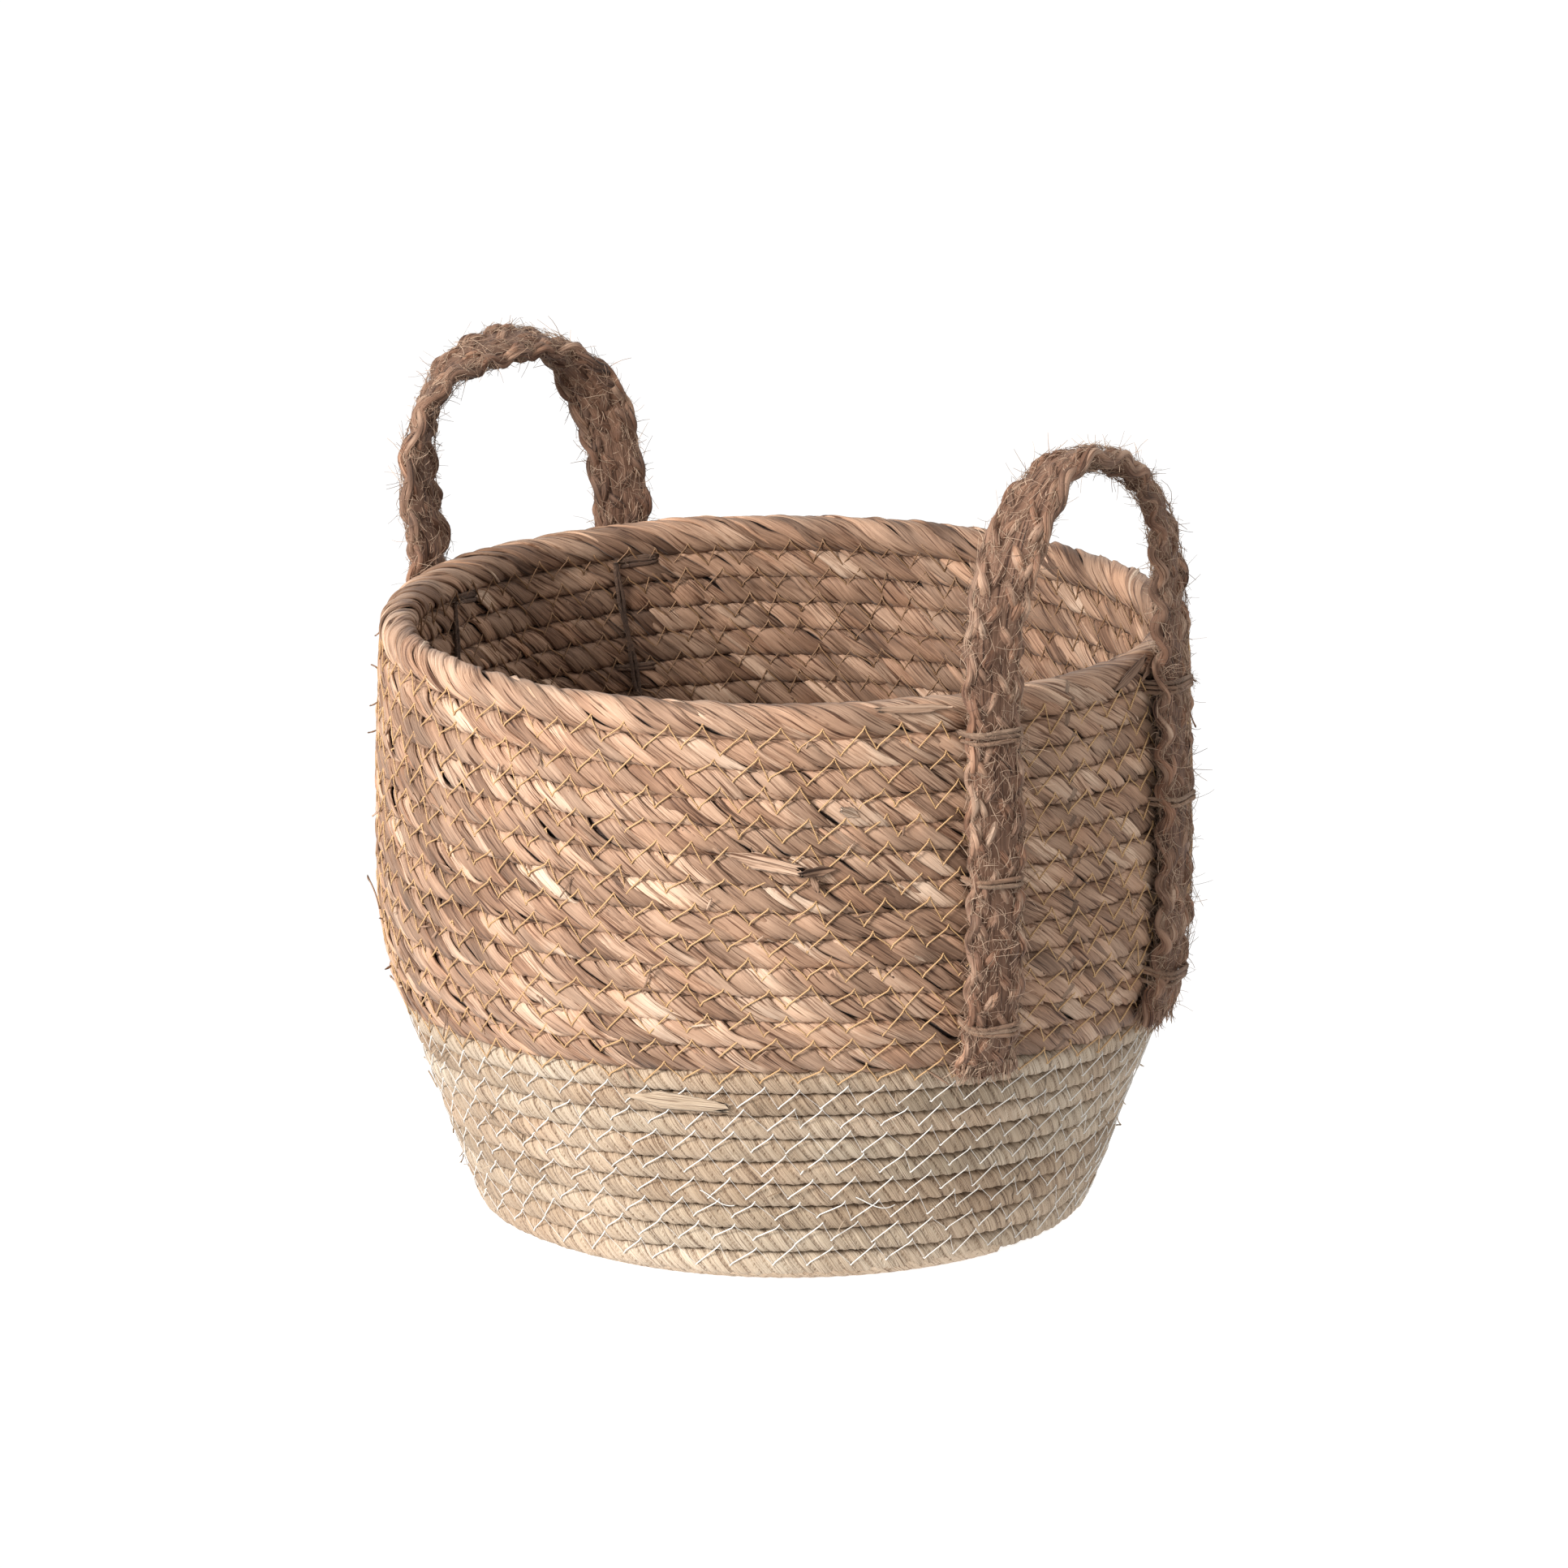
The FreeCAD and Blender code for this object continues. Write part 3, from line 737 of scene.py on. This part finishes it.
def plait(weave, rng, route):
    """Yarns of three plies plaited flat over and under each other, round a filling; yarns that dip
    under and the filling carry painted shade.
    """
    s = np.linspace(0, route.length, len(route.line))
    t = s / route.length
    width = route.pinch()
    swing_reach = PLAIT_WIDTH / 2 - YARN_RADIUS * 0.60
    lift_reach = PLAIT_THICKNESS / 2 - YARN_RADIUS * 1.10
    for yarn in range(YARNS):
        phase = TAU * s / PLAIT_PERIOD + TAU * yarn / YARNS + wander(rng, t, 0.08, (5, 9, 14, 22))
        swing = swing_reach * width * np.sin(EDGE_DWELL * np.cos(phase)) / math.sin(EDGE_DWELL)
        flat = 1 - 0.30 * (swing / swing_reach) ** 2
        lift = lift_reach * flat * np.sin((YARNS - 1) * phase)
        swing = swing + wander(rng, t, 0.35 * MM, (7, 13, 19, 29))
        lift = lift + wander(rng, t, 0.25 * MM, (7, 13, 19, 29))
        yarn_tone = 0.47 + wander(rng, t, 0.07, (5, 9, 15, 23))
        # Painted shade: a yarn is darker where it dips under the others.
        shade = clamp(0.58 + 0.24 * lift / lift_reach)
        for ply in range(PLIES):
            twist = TAU * (s / PLY_PITCH + ply / PLIES) + wander(rng, t, 0.5, (9, 17, 31, 47))
            reach = (YARN_RADIUS - PLY_RADIUS) * (1 + wander(rng, t, 0.10, (21, 33, 57, 75)))
            line = route.beside(slice(None), swing + reach * np.cos(twist),
                                lift + reach * np.sin(twist))
            radius = PLY_RADIUS * (1 + wander(rng, t, 0.07, (19, 33, 47, 71, 93)))
            ring, fibre = rings(line, radius, 9, route.deep)
            fibre[..., 0] += rng.uniform(0, 50)
            paleness = yarn_tone + rng.normal(0, 0.08) + wander(rng, t, 0.08, (21, 40, 66))
            tone = grid(clamp(paleness), rng.uniform(0, 1), shade)[:, None]
            weave.add(ring, fibre, tone)
    a = circle(16)
    side = np.cos(a) * PLAIT_WIDTH * 0.43 * width[:, None]
    depth = np.broadcast_to(np.sin(a) * PLAIT_THICKNESS * 0.29, side.shape)
    filling = route.beside(np.arange(len(s))[:, None], side, depth)
    fibre = grid(s[:, None], np.cos(a) * 10 * MM, np.sin(a) * 3 * MM)
    # Painted shade: the filling between the yarns gets a darker third tone number.
    weave.add(filling, fibre, (0.46, 0.5, 0.46), cap=True)


def grow(root, heading, curl, length, rows):
    """Lines that start at each root, run along a heading and curl as they go."""
    line = np.empty((len(root), rows, 3))
    line[:, 0] = root
    for row in range(1, rows):
        line[:, row] = line[:, row - 1] + heading * (length / (rows - 1))[:, None]
        heading = unit(heading + curl)
    return line


def hair_tone(rng, count, low, high):
    return grid(rng.uniform(low, high, count), 0.3, 1.0)[:, None, None]


def hairs(weave, rng, route, count, standing):
    """Stray fibres of a plait: `standing` ones stick out, the others lie over its faces."""
    place = rng.integers(2, len(route.line) - 2, count)
    angle = rng.uniform(0, TAU, count)
    width = route.pinch()[place]
    across = np.sign(np.cos(angle)) * np.abs(np.cos(angle)) ** 0.8 * PLAIT_WIDTH / 2 * 0.97 * width
    deep = np.sin(angle) * PLAIT_THICKNESS / 2 * 0.93
    root = route.beside(place, across, deep)
    away = unit(route.across[place] * (np.cos(angle) * 0.6)[:, None]
                + route.deep[place] * np.sin(angle)[:, None])
    aside = np.cross(route.along[place], away)
    lean = rng.uniform(-1, 1, (count, 1))
    if standing:
        heading = unit(away * rng.uniform(0.2, 1.0, (count, 1)) + route.along[place] * 1.1 * lean
                       + rng.normal(0, 0.4, (count, 3)))
        length = rng.gamma(1.5, 1.0 * MM, count) + 0.8 * MM
        curl = rng.normal(0, 0.30, (count, 3)) - away * 0.12
    else:
        heading = unit(away * 0.10 + route.along[place] * 1.3 * lean
                       + aside * rng.normal(0, 0.5, (count, 1)))
        length = rng.gamma(3.0, 1.7 * MM, count) + 1.5 * MM
        curl = rng.normal(0, 0.16, (count, 3)) - away * 0.13
    rows, stout = (6, 0.075 * MM) if standing else (5, 0.11 * MM)
    line = grow(root - away * 0.4 * MM, heading, curl, length, rows)
    radius = stout * np.linspace(1.1, 0.6, rows) * rng.uniform(0.7, 1.6, count)[:, None]
    add_lines(weave, line, radius, 3, HAIR_UP, hair_tone(rng, count, 0.38, 1.0), rng)


def frayed_end(weave, rng, route, first):
    """Tuft of fibres where a leg is cut off."""
    count, rows = 420, 6
    at = 2 if first else len(route.line) - 3
    down = -route.along[at] if first else route.along[at]
    across = rng.uniform(-1, 1, count)
    deep = rng.uniform(-1, 1, count)
    root = route.beside(at, across * PLAIT_WIDTH * 0.46, deep * PLAIT_THICKNESS * 0.36)
    heading = unit(down + route.across[at] * (across * 0.25)[:, None]
                   + rng.normal(0, 0.15, (count, 3)))
    curl = rng.normal(0, 0.10, (count, 3))
    line = grow(root - down * 5 * MM, heading, curl, rng.uniform(5, 12, count) * MM, rows)
    radius = MM * np.linspace(0.34, 0.09, rows) * rng.uniform(0.4, 1.4, count)[:, None]
    tone = hair_tone(rng, count, 0.2, 0.9)
    add_lines(weave, line, radius, 5, HAIR_UP, tone, rng)


# ---------------------------------------------------------------- ties

def tie_line(side, end, height, shift, rng):
    """Closed line of one wrap of twine: round the leg's front, through the wall and back inside."""
    angle = leg_angle(side, end)
    radius, _, slope = outline(height)
    half = PLAIT_WIDTH / 2 - 1.0 * MM
    front = LEG_GAP + PLAIT_THICKNESS - 0.3 * MM
    back = -BROWN_ROPE - 0.6 * MM
    turn = circle(72)
    deep = (front - back) / 2
    power = 0.42
    u = (front + back) / 2 + deep * np.sign(np.cos(turn)) * np.abs(np.cos(turn)) ** power
    v = half * np.sign(np.sin(turn)) * np.abs(np.sin(turn)) ** power
    u = u + np.where(np.cos(turn) > 0, 1 - (v / half) ** 2, 0) * 0.5 * MM
    tilt = v * rng.normal(0, 0.05)
    z = shift + rng.normal(0, 0.3 * MM) + tilt + wander(rng, turn / TAU, 0.3 * MM)
    r = radius + u * math.cos(slope) - z * math.sin(slope)
    height = height + u * math.sin(slope) + z * math.cos(slope)
    return beside(r, v, height, angle)


def closed_rings(line, radius, sides, lobes, twist):
    """Rings round a closed line."""
    padded = np.concatenate([line[-3:], line, line[:3]])
    ring, fibre = rings(padded, radius, sides, outward(padded), lobes=lobes, twist=twist)
    return ring[3:-3], fibre[3:-3]


def loose_fibres(weave, rng, line, count, length):
    """Short fuzz along a line of twine."""
    place = rng.integers(0, len(line), count)
    heading = unit(rng.normal(0, 1, (count, 3)) + outward(line[place]) * 0.5)
    curl = rng.normal(0, 0.3, (count, 3))
    points = grow(line[place], heading, curl, rng.uniform(0.4, 1.0, count) * length, 5)
    add_lines(weave, points, np.full(points.shape[:2], 0.07 * MM), 3, HAIR_UP, (0.8, 0.5, 1.0), rng)


def make_tie(side, end, name, height, rng):
    weave = Weave()
    z = tie_height(height)
    for wrap in TIE_WRAPS[name]:
        line = tie_line(side, end, z, wrap * MM, rng)
        ring, fibre = closed_rings(line, 0.92 * MM, 10, 0.2, TWINE_TWIST)
        fibre[..., 0] += rng.uniform(0, 50)
        inner = np.hypot(ring[..., 0], ring[..., 1]) < outline(z)[0] - BROWN_ROPE / 2
        # Painted shade: the part of each wrap inside the wall is made darker.
        paleness = rng.uniform(0.4, 0.6) - 0.35 * inner
        weave.add(ring, fibre, grid(paleness, rng.uniform(0, 1), 1.0), wrap_rows=True)
        loose_fibres(weave, rng, line, 45, 5 * MM)
    return weave


def make_inner_twine(side, end, rng):
    """Twine that runs up the inside of the wall between a leg's lowest and highest ties."""
    weave = Weave()
    heights = TIE_HEIGHTS[f"{side}_{end}"]
    low, high = tie_height(heights[0]), tie_height(heights[-1])
    z = np.linspace(low, high, 90)
    angle = leg_angle(side, end)
    for strand in (-0.9, 0.9):
        r, height, _ = np.array([outline(h, BROWN_ROPE + 1.2 * MM) for h in z]).T
        t = (z - low) / (high - low)
        v = strand * MM * np.cos(11 * t) + wander(rng, t, 0.5 * MM) + 22 * MM * (t - 0.5)
        line = beside(r, v, height, angle)
        ring, fibre = rings(line, 0.85 * MM, 10, outward(line), lobes=0.2, twist=TWINE_TWIST)
        # Painted shade: the run inside the basket is given a very dark tone.
        weave.add(ring, fibre, (0.08, rng.uniform(0, 1), 0.6), cap=True)
        loose_fibres(weave, rng, line, 40, 5 * MM)
    return weave


# ---------------------------------------------------------------- build the basket

def place_piece(piece, slot, *nodes):
    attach(piece, "root")
    if nodes:
        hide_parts(*nodes)


def brown_courses():
    pitch = (RIM_JOIN - COLOUR_HEIGHT) / BROWN_COURSES
    rng = np.random.default_rng(11)
    return [Course(rng, COLOUR_HEIGHT + pitch * (k + 0.5), BROWN_ROPE, WALL_SQUARE)
            for k in range(BROWN_COURSES)]


def pale_courses():
    """Evenly spaced up the cone of the wall; the lowest lies on the floor."""
    rng = np.random.default_rng(12)
    lowest = PALE_ROPE / 2
    pitch = (COLOUR_HEIGHT - lowest) / (PALE_COURSES - 0.5)
    return [Course(rng, lowest + pitch * k, PALE_ROPE * 1.02, HUSK_SQUARE)
            for k in range(PALE_COURSES)]


class FlatCoil:
    """The spiral of pale rope that makes the base; its last turn becomes the lowest wall course."""

    def __init__(self, reach, rope):
        self.rope = rope
        self.turns = round(reach / (0.92 * rope))
        self.reach = reach
        self.length = math.pi * reach * self.turns

    def place(self, along, turn, reach):
        share = np.sqrt(clamp(along) * 0.9995 + 0.0005)
        phi = TAU * self.turns * share
        r = self.reach * share + reach * np.cos(turn)
        z = np.maximum(self.rope * 0.43 + 0.86 * reach * np.sin(turn), 0.1 * MM)
        return polar(r, phi, z)


def make_walls():
    brown = brown_courses()
    pale = pale_courses()
    rim_middle = (RIM_JOIN + RIM_HEIGHT) / 2 - 0.3 * MM
    rim = Course(np.random.default_rng(13), rim_middle, RIM_ROPE, RIM_SQUARE)
    rng = np.random.default_rng(21)
    for group in range(6):
        weave = Weave()
        for course in brown[2 * group:2 * group + 2]:
            rope_of_leaves(weave, rng, course, strands=rng.integers(4, 6),
                           lay=math.radians(rng.uniform(33, 40)), rows=540, columns=14,
                           thickness=1.35 * MM, spread=1.26, tones=(0.45, 0.115))
        nodes = ["brown_wall_coil"] if group == 0 else []
        place_piece(weave.build(f"brown_courses_{group + 1}", RUSH), "brown_rush", *nodes)
    weave = Weave()
    rope_of_leaves(weave, rng, rim, strands=6, lay=math.radians(33), rows=700, columns=14,
                   thickness=1.4 * MM, spread=1.30, tones=(0.46, 0.06))
    place_piece(weave.build("rim_course", RUSH), "brown_rush", "rim_coil")
    for group in range(3):
        weave = Weave()
        for course in pale[3 * group:3 * group + 3]:
            rope_of_husk(weave, rng, course, rows=1250, columns=24, lay=math.radians(58), plies=4,
                         tones=(0.46, 0.07))
        nodes = ["pale_wall_coil"] if group == 0 else []
        place_piece(weave.build(f"pale_courses_{group + 1}", HUSK), "pale_husk", *nodes)
    weave = Weave()
    coil = FlatCoil(pale[0].radius - 0.5 * MM, PALE_ROPE)
    base_coil(weave, rng, coil)
    place_piece(weave.build("base_spiral", HUSK), "pale_husk", "base_coil")
    return brown, pale, rim


def loose_leaf(weave, rng, azimuth, height, heading, length, width, lift, curl, tone, sunk=0.4):
    """Flat strip of leaf on the wall; it starts tucked in and its end stands `lift` off."""
    rows, columns = 14, 8
    t = np.linspace(0, 1, rows)
    a = circle(columns)
    travel = length * t
    taper = clamp(2.4 * t + 0.12) * (1 - 0.5 * t ** 4) * (1 + wander(rng, t, 0.10, (2, 3, 5)))
    side = np.cos(a)[None, :] * (width / 2 * taper)[:, None]
    bow = curl * width * np.cos(a)[None, :] ** 2
    off = ((0.35 * MM * np.sin(a))[None, :]
           + (lift * t ** 2.2 - sunk * MM * (1 - t) ** 2)[:, None] + bow)
    turn = math.radians(heading)
    ragged = (travel[:, None]
              + 0.10 * length * t[:, None] ** 6 * np.sin(5 * a + length / MM)[None, :])
    along = ragged * math.cos(turn) - side * math.sin(turn)
    rise = ragged * math.sin(turn) + side * math.cos(turn)
    radius, base, slope = outline(height)
    phi = math.radians(azimuth) + along / radius
    z = base + rise * math.cos(slope) + off * math.sin(slope)
    r = radius - rise * math.sin(slope) + off * math.cos(slope) + 0.8 * MM
    points = polar(r, phi, z + dip(phi, height))
    fibre = grid(travel[:, None] + rng.uniform(0, 50), side, MM * np.sin(a))
    weave.add(points, fibre, (tone, 0.3, 1.0), cap=True)


# Azimuth and height on the wall, heading (degrees), length, width and lift (mm), curl, tone, and
# how far the start is tucked in (mm)
TORN_LEAVES = (
    (-51.5, 196.5, -12, 32, 7.0, 3.0, 0.1, 0.66, 0.2),
    (-36.5, 190.0, 184, 15, 4.5, 4.5, 0.3, 0.16, 0.4),
    (-40.0, 188.5, -70, 8, 3.0, 3.5, -0.1, 0.25, 0.4),
    (-33.5, 212.0, 150, 9, 4.5, 4.5, 0.1, 0.85, 0.4),
    (-20.0, 256.0, 177, 32, 4.0, 2.0, 0.1, 0.62, 0.4),
    (9.0, 249.0, 24, 24, 5.5, 1.2, 0.1, 0.16, 0.2),
    (16.0, 249.0, 30, 24, 5.5, 1.2, 0.1, 0.30, 0.2),
    (22.0, 249.0, 27, 24, 5.5, 1.2, 0.1, 0.12, 0.2),
)
TORN_HUSKS = ((-68.0, 83.5, -4, 43, 9.0, 0.4, -0.05, 0.50, 0.2),)
RUSH_ENDS = 170
HUSK_ENDS = 70


def torn_leaves(weave, rng, leaves):
    for azimuth, height, heading, length, width, lift, curl, tone, sunk in leaves:
        loose_leaf(weave, rng, azimuth, height * MM, heading, length * MM, width * MM, lift * MM,
                   curl, tone, sunk)


def make_loose_leaves():
    """The broken, knotted and lifted leaves that stand out, and small stray ends all round."""
    rng = np.random.default_rng(51)
    weave = Weave()
    torn_leaves(weave, rng, TORN_LEAVES)
    for _ in range(RUSH_ENDS):
        join = rng.integers(0, BROWN_COURSES + 1) / BROWN_COURSES
        height = COLOUR_HEIGHT + (RIM_JOIN - COLOUR_HEIGHT) * join
        loose_leaf(weave, rng, rng.uniform(0, 360), height + rng.normal(0, 1.2 * MM),
                   rng.uniform(0, 360), rng.gamma(2.0, 1.9 * MM) + 2 * MM,
                   rng.uniform(0.4, 1.5) * MM, rng.uniform(0.3, 3.2) * MM, 0.0,
                   clamp(rng.normal(0.5, 0.22)))
    place_piece(weave.build("loose_leaf_ends", RUSH), "brown_rush")
    weave = Weave()
    torn_leaves(weave, rng, TORN_HUSKS)
    for _ in range(HUSK_ENDS):
        join = rng.integers(0, 8) / 8
        height = PALE_ROPE + (COLOUR_HEIGHT - PALE_ROPE) * join + rng.normal(0, MM)
        loose_leaf(weave, rng, rng.uniform(0, 360), height, rng.uniform(0, 360),
                   rng.gamma(2.0, 1.5 * MM) + 1.5 * MM, rng.uniform(0.3, 1.0) * MM,
                   rng.uniform(0.2, 2.2) * MM, 0.0, clamp(rng.normal(0.4, 0.2)))
    place_piece(weave.build("loose_husk_ends", HUSK), "pale_husk")


def base_coil(weave, rng, coil):
    """Husk rope of the base, with its plies raised and painted shade in the grooves between them."""
    rows, columns = 3200, 14
    t = np.linspace(0, 1, rows)
    a = circle(columns)
    travel = np.sqrt(t)
    twist = a[None, :] + 900 * t[:, None]
    ply = np.abs(np.sin(2.5 * twist)) ** 0.6
    reach = coil.rope / 2 - 0.8 * MM + 0.9 * MM * ply
    points = coil.place(t[:, None], a[None, :], reach)
    fibre = grid(t[:, None] * coil.length, np.cos(twist) * coil.rope / 2,
                 np.sin(twist) * coil.rope / 2)
    paleness = clamp(0.5 + wander(rng, travel, 0.12, (5, 11, 23, 47)))[:, None]
    # Painted shade: the ply height sets the third tone number, so grooves darken.
    weave.add(points, fibre, grid(paleness, 0.5, ply), cap=True)


STRAY_THREADS = ((-57.6, 38), (-31.6, 36), (120.0, 50))


def stray_thread(weave, rng, azimuth, height):
    """End of sewing thread that hangs off the wall in a shallow bow."""
    t = np.linspace(0, 1, 14)
    radius, base, _ = outline(height)
    phi = math.radians(azimuth) + rng.uniform(14, 20) * MM * t / radius
    r = radius + 0.4 * MM + 2.2 * MM * np.sin(math.pi * t)
    z = base + dip(phi, height) + 3.0 * MM * np.sin(rng.uniform(2.5, 4.5) * t + rng.uniform(0, 3))
    line = polar(r, phi, z)[None]
    thick = np.full(line.shape[:2], 0.22 * MM)
    add_lines(weave, line, thick, 6, outward(line), (0.8, 0.5, 1.0), rng)


def make_threads(brown, pale, rim):
    """Zigzag seams over every join, outside and inside."""
    rng = np.random.default_rng(31)
    upper_wall = brown + [rim]
    for inside in (False, True):
        # Inside stitches use the golden thread painted darker as shade inside the basket.
        word, metal = ("inner", GOLD_IN_PAINTED_SHADE) if inside else ("outer", GOLD)
        weave = Weave()
        for lower, upper in zip(upper_wall, upper_wall[1:]):
            zigzag(weave, rng, lower, upper, inside)
        zigzag(weave, rng, pale[-1], brown[0], inside)
        place_piece(weave.build(f"golden_{word}_thread", metal), "golden_thread")
        weave = Weave()
        for lower, upper in zip(pale, pale[1:]):
            zigzag(weave, rng, lower, upper, inside, 0.27 * MM, 0.10 * MM)
        if not inside:
            for azimuth, height in STRAY_THREADS:
                stray_thread(weave, rng, azimuth, height * MM)
        place_piece(weave.build(f"white_{word}_thread", WHITE), "white_thread")


def make_handles():
    """Plaits that bend at the rim, their fibres, and the twine that holds them."""
    rng = np.random.default_rng(41)
    for side in ("right", "left"):
        route = Route(side, rng)
        weave = Weave()
        plait(weave, rng, route)
        piece = weave.build(f"{side}_handle_plait", JUTE)
        nap = Weave()
        hairs(nap, rng, route, LYING_HAIRS, standing=False)
        fuzz = Weave()
        hairs(fuzz, rng, route, STANDING_HAIRS, standing=True)
        frayed_end(fuzz, rng, route, True)
        frayed_end(fuzz, rng, route, False)
        for part in (piece, nap.build(f"{side}_handle_nap", HAIR),
                     fuzz.build(f"{side}_handle_hairs", HAIR)):
            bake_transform(part)
        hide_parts(f"{side}_handle_loop", f"{side}_handle_front_leg",
                    f"{side}_handle_rear_leg")
        for end in ("front", "rear"):
            leg = f"{side}_{end}"
            for name, height in zip(TIE_NAMES, TIE_HEIGHTS[leg]):
                tie = make_tie(side, end, name, height, rng).build(f"{leg}_{name}_twine_tie", TWINE)
                place_piece(tie, "jute_twine", f"{leg}_{name}_tie")
            run = make_inner_twine(side, end, rng).build(f"{leg}_inner_twine_run", TWINE)
            place_piece(run, "jute_twine", f"{leg}_inner_twine")


brown_ropes, pale_ropes, rim_rope = make_walls()
make_threads(brown_ropes, pale_ropes, rim_rope)
make_loose_leaves()
make_handles()


# ---------------------------------------------------------------- studio

def make_floor():
    """White paper disc whose edge fades into the white surroundings."""
    mesh = bpy.data.meshes.new("floor")
    corners = polar(0.7, circle(64), 0)
    mesh.from_pydata(corners.tolist(), [], [tuple(range(64))])
    floor = add_object("floor", mesh)
    s = Surface("floor_paper")
    place = s.place()
    grain = s.noise(place, 40, 2)
    colour = s.ramp(grain, ((0.3, (0.42, 0.42, 0.42)), (0.7, (0.44, 0.44, 0.44))))
    reach = s.node("ShaderNodeVectorMath", operation="LENGTH")
    s.link(place, reach.inputs[0])
    fade = s.ramp(s.math("MULTIPLY", reach.outputs["Value"], 1.4),
                  ((0.22, (1, 1, 1)), (0.50, (0, 0, 0))))
    s.link(fade, s.shader.inputs["Alpha"])
    s.shader.inputs["Emission Color"].default_value = (1.0, 1.0, 1.0, 1.0)
    paper = s.finish(colour, s.scale_about(grain, 0.1, 0.85), s.bump(grain, 0.0002, 0.1),
                     Emission_Strength=0.85)
    mesh.materials.append(paper)


def stand(thing, place, aim):
    """Put a lamp or camera at `place`, turned towards `aim`."""
    thing.location = place
    thing.rotation_euler = (Vector(aim) - Vector(place)).to_track_quat("-Z", "Y").to_euler()


def make_light(name, place, aim, size, watts, colour):
    data = bpy.data.lights.new(name, "AREA")
    data.shape = "DISK"
    data.size = size
    data.energy = watts
    data.color = colour
    stand(add_object(name, data), place, aim)


def around(azimuth, elevation, distance):
    """Point at an azimuth and elevation from the origin, measured like the camera's."""
    a, e = math.radians(azimuth), math.radians(elevation)
    return distance * Vector((math.sin(a) * math.cos(e), -math.cos(a) * math.cos(e), math.sin(e)))


VIEW_ELEVATION = 15.9
VIEW_DISTANCE = 4.0


def make_camera():
    pivot = Vector((0, 0, 0.130))
    camera = add_object("camera", bpy.data.cameras.new("camera"))
    stand(camera, pivot + around(VIEW_AZIMUTH, VIEW_ELEVATION, VIEW_DISTANCE), (0, 0, 0.1804))
    camera.data.sensor_width = 36.0
    camera.data.lens = 213.9
    bpy.context.scene.camera = camera


def make_world():
    """Soft light from all round, seen as plain white paper."""
    world = bpy.data.worlds.new("studio")
    world.use_nodes = True
    tree = world.node_tree
    path = tree.nodes.new("ShaderNodeLightPath")
    strength = tree.nodes.new("ShaderNodeMapRange")
    strength.inputs["To Min"].default_value = 0.68
    strength.inputs["To Max"].default_value = 1.05
    background = tree.nodes["Background"]
    background.inputs["Color"].default_value = (1.0, 1.0, 1.0, 1.0)
    tree.links.new(path.outputs["Is Camera Ray"], strength.inputs["Value"])
    tree.links.new(strength.outputs["Result"], background.inputs["Strength"])
    bpy.context.scene.world = world


def make_studio():
    make_floor()
    make_world()
    middle = (0, 0, 0.15)
    make_light("key", around(VIEW_AZIMUTH - 47, 25, 2.4), middle, 0.8, 87, (1.0, 0.98, 0.96))
    make_light("fill", around(VIEW_AZIMUTH + 75, 48, 2.6), middle, 1.4, 11, (1.0, 1.0, 1.0))
    make_light("top", around(VIEW_AZIMUTH - 20, 66, 2.6), middle, 1.2, 4, (1.0, 1.0, 1.0))


make_camera()
make_studio()
bpy.context.scene.view_settings.view_transform = "Standard"
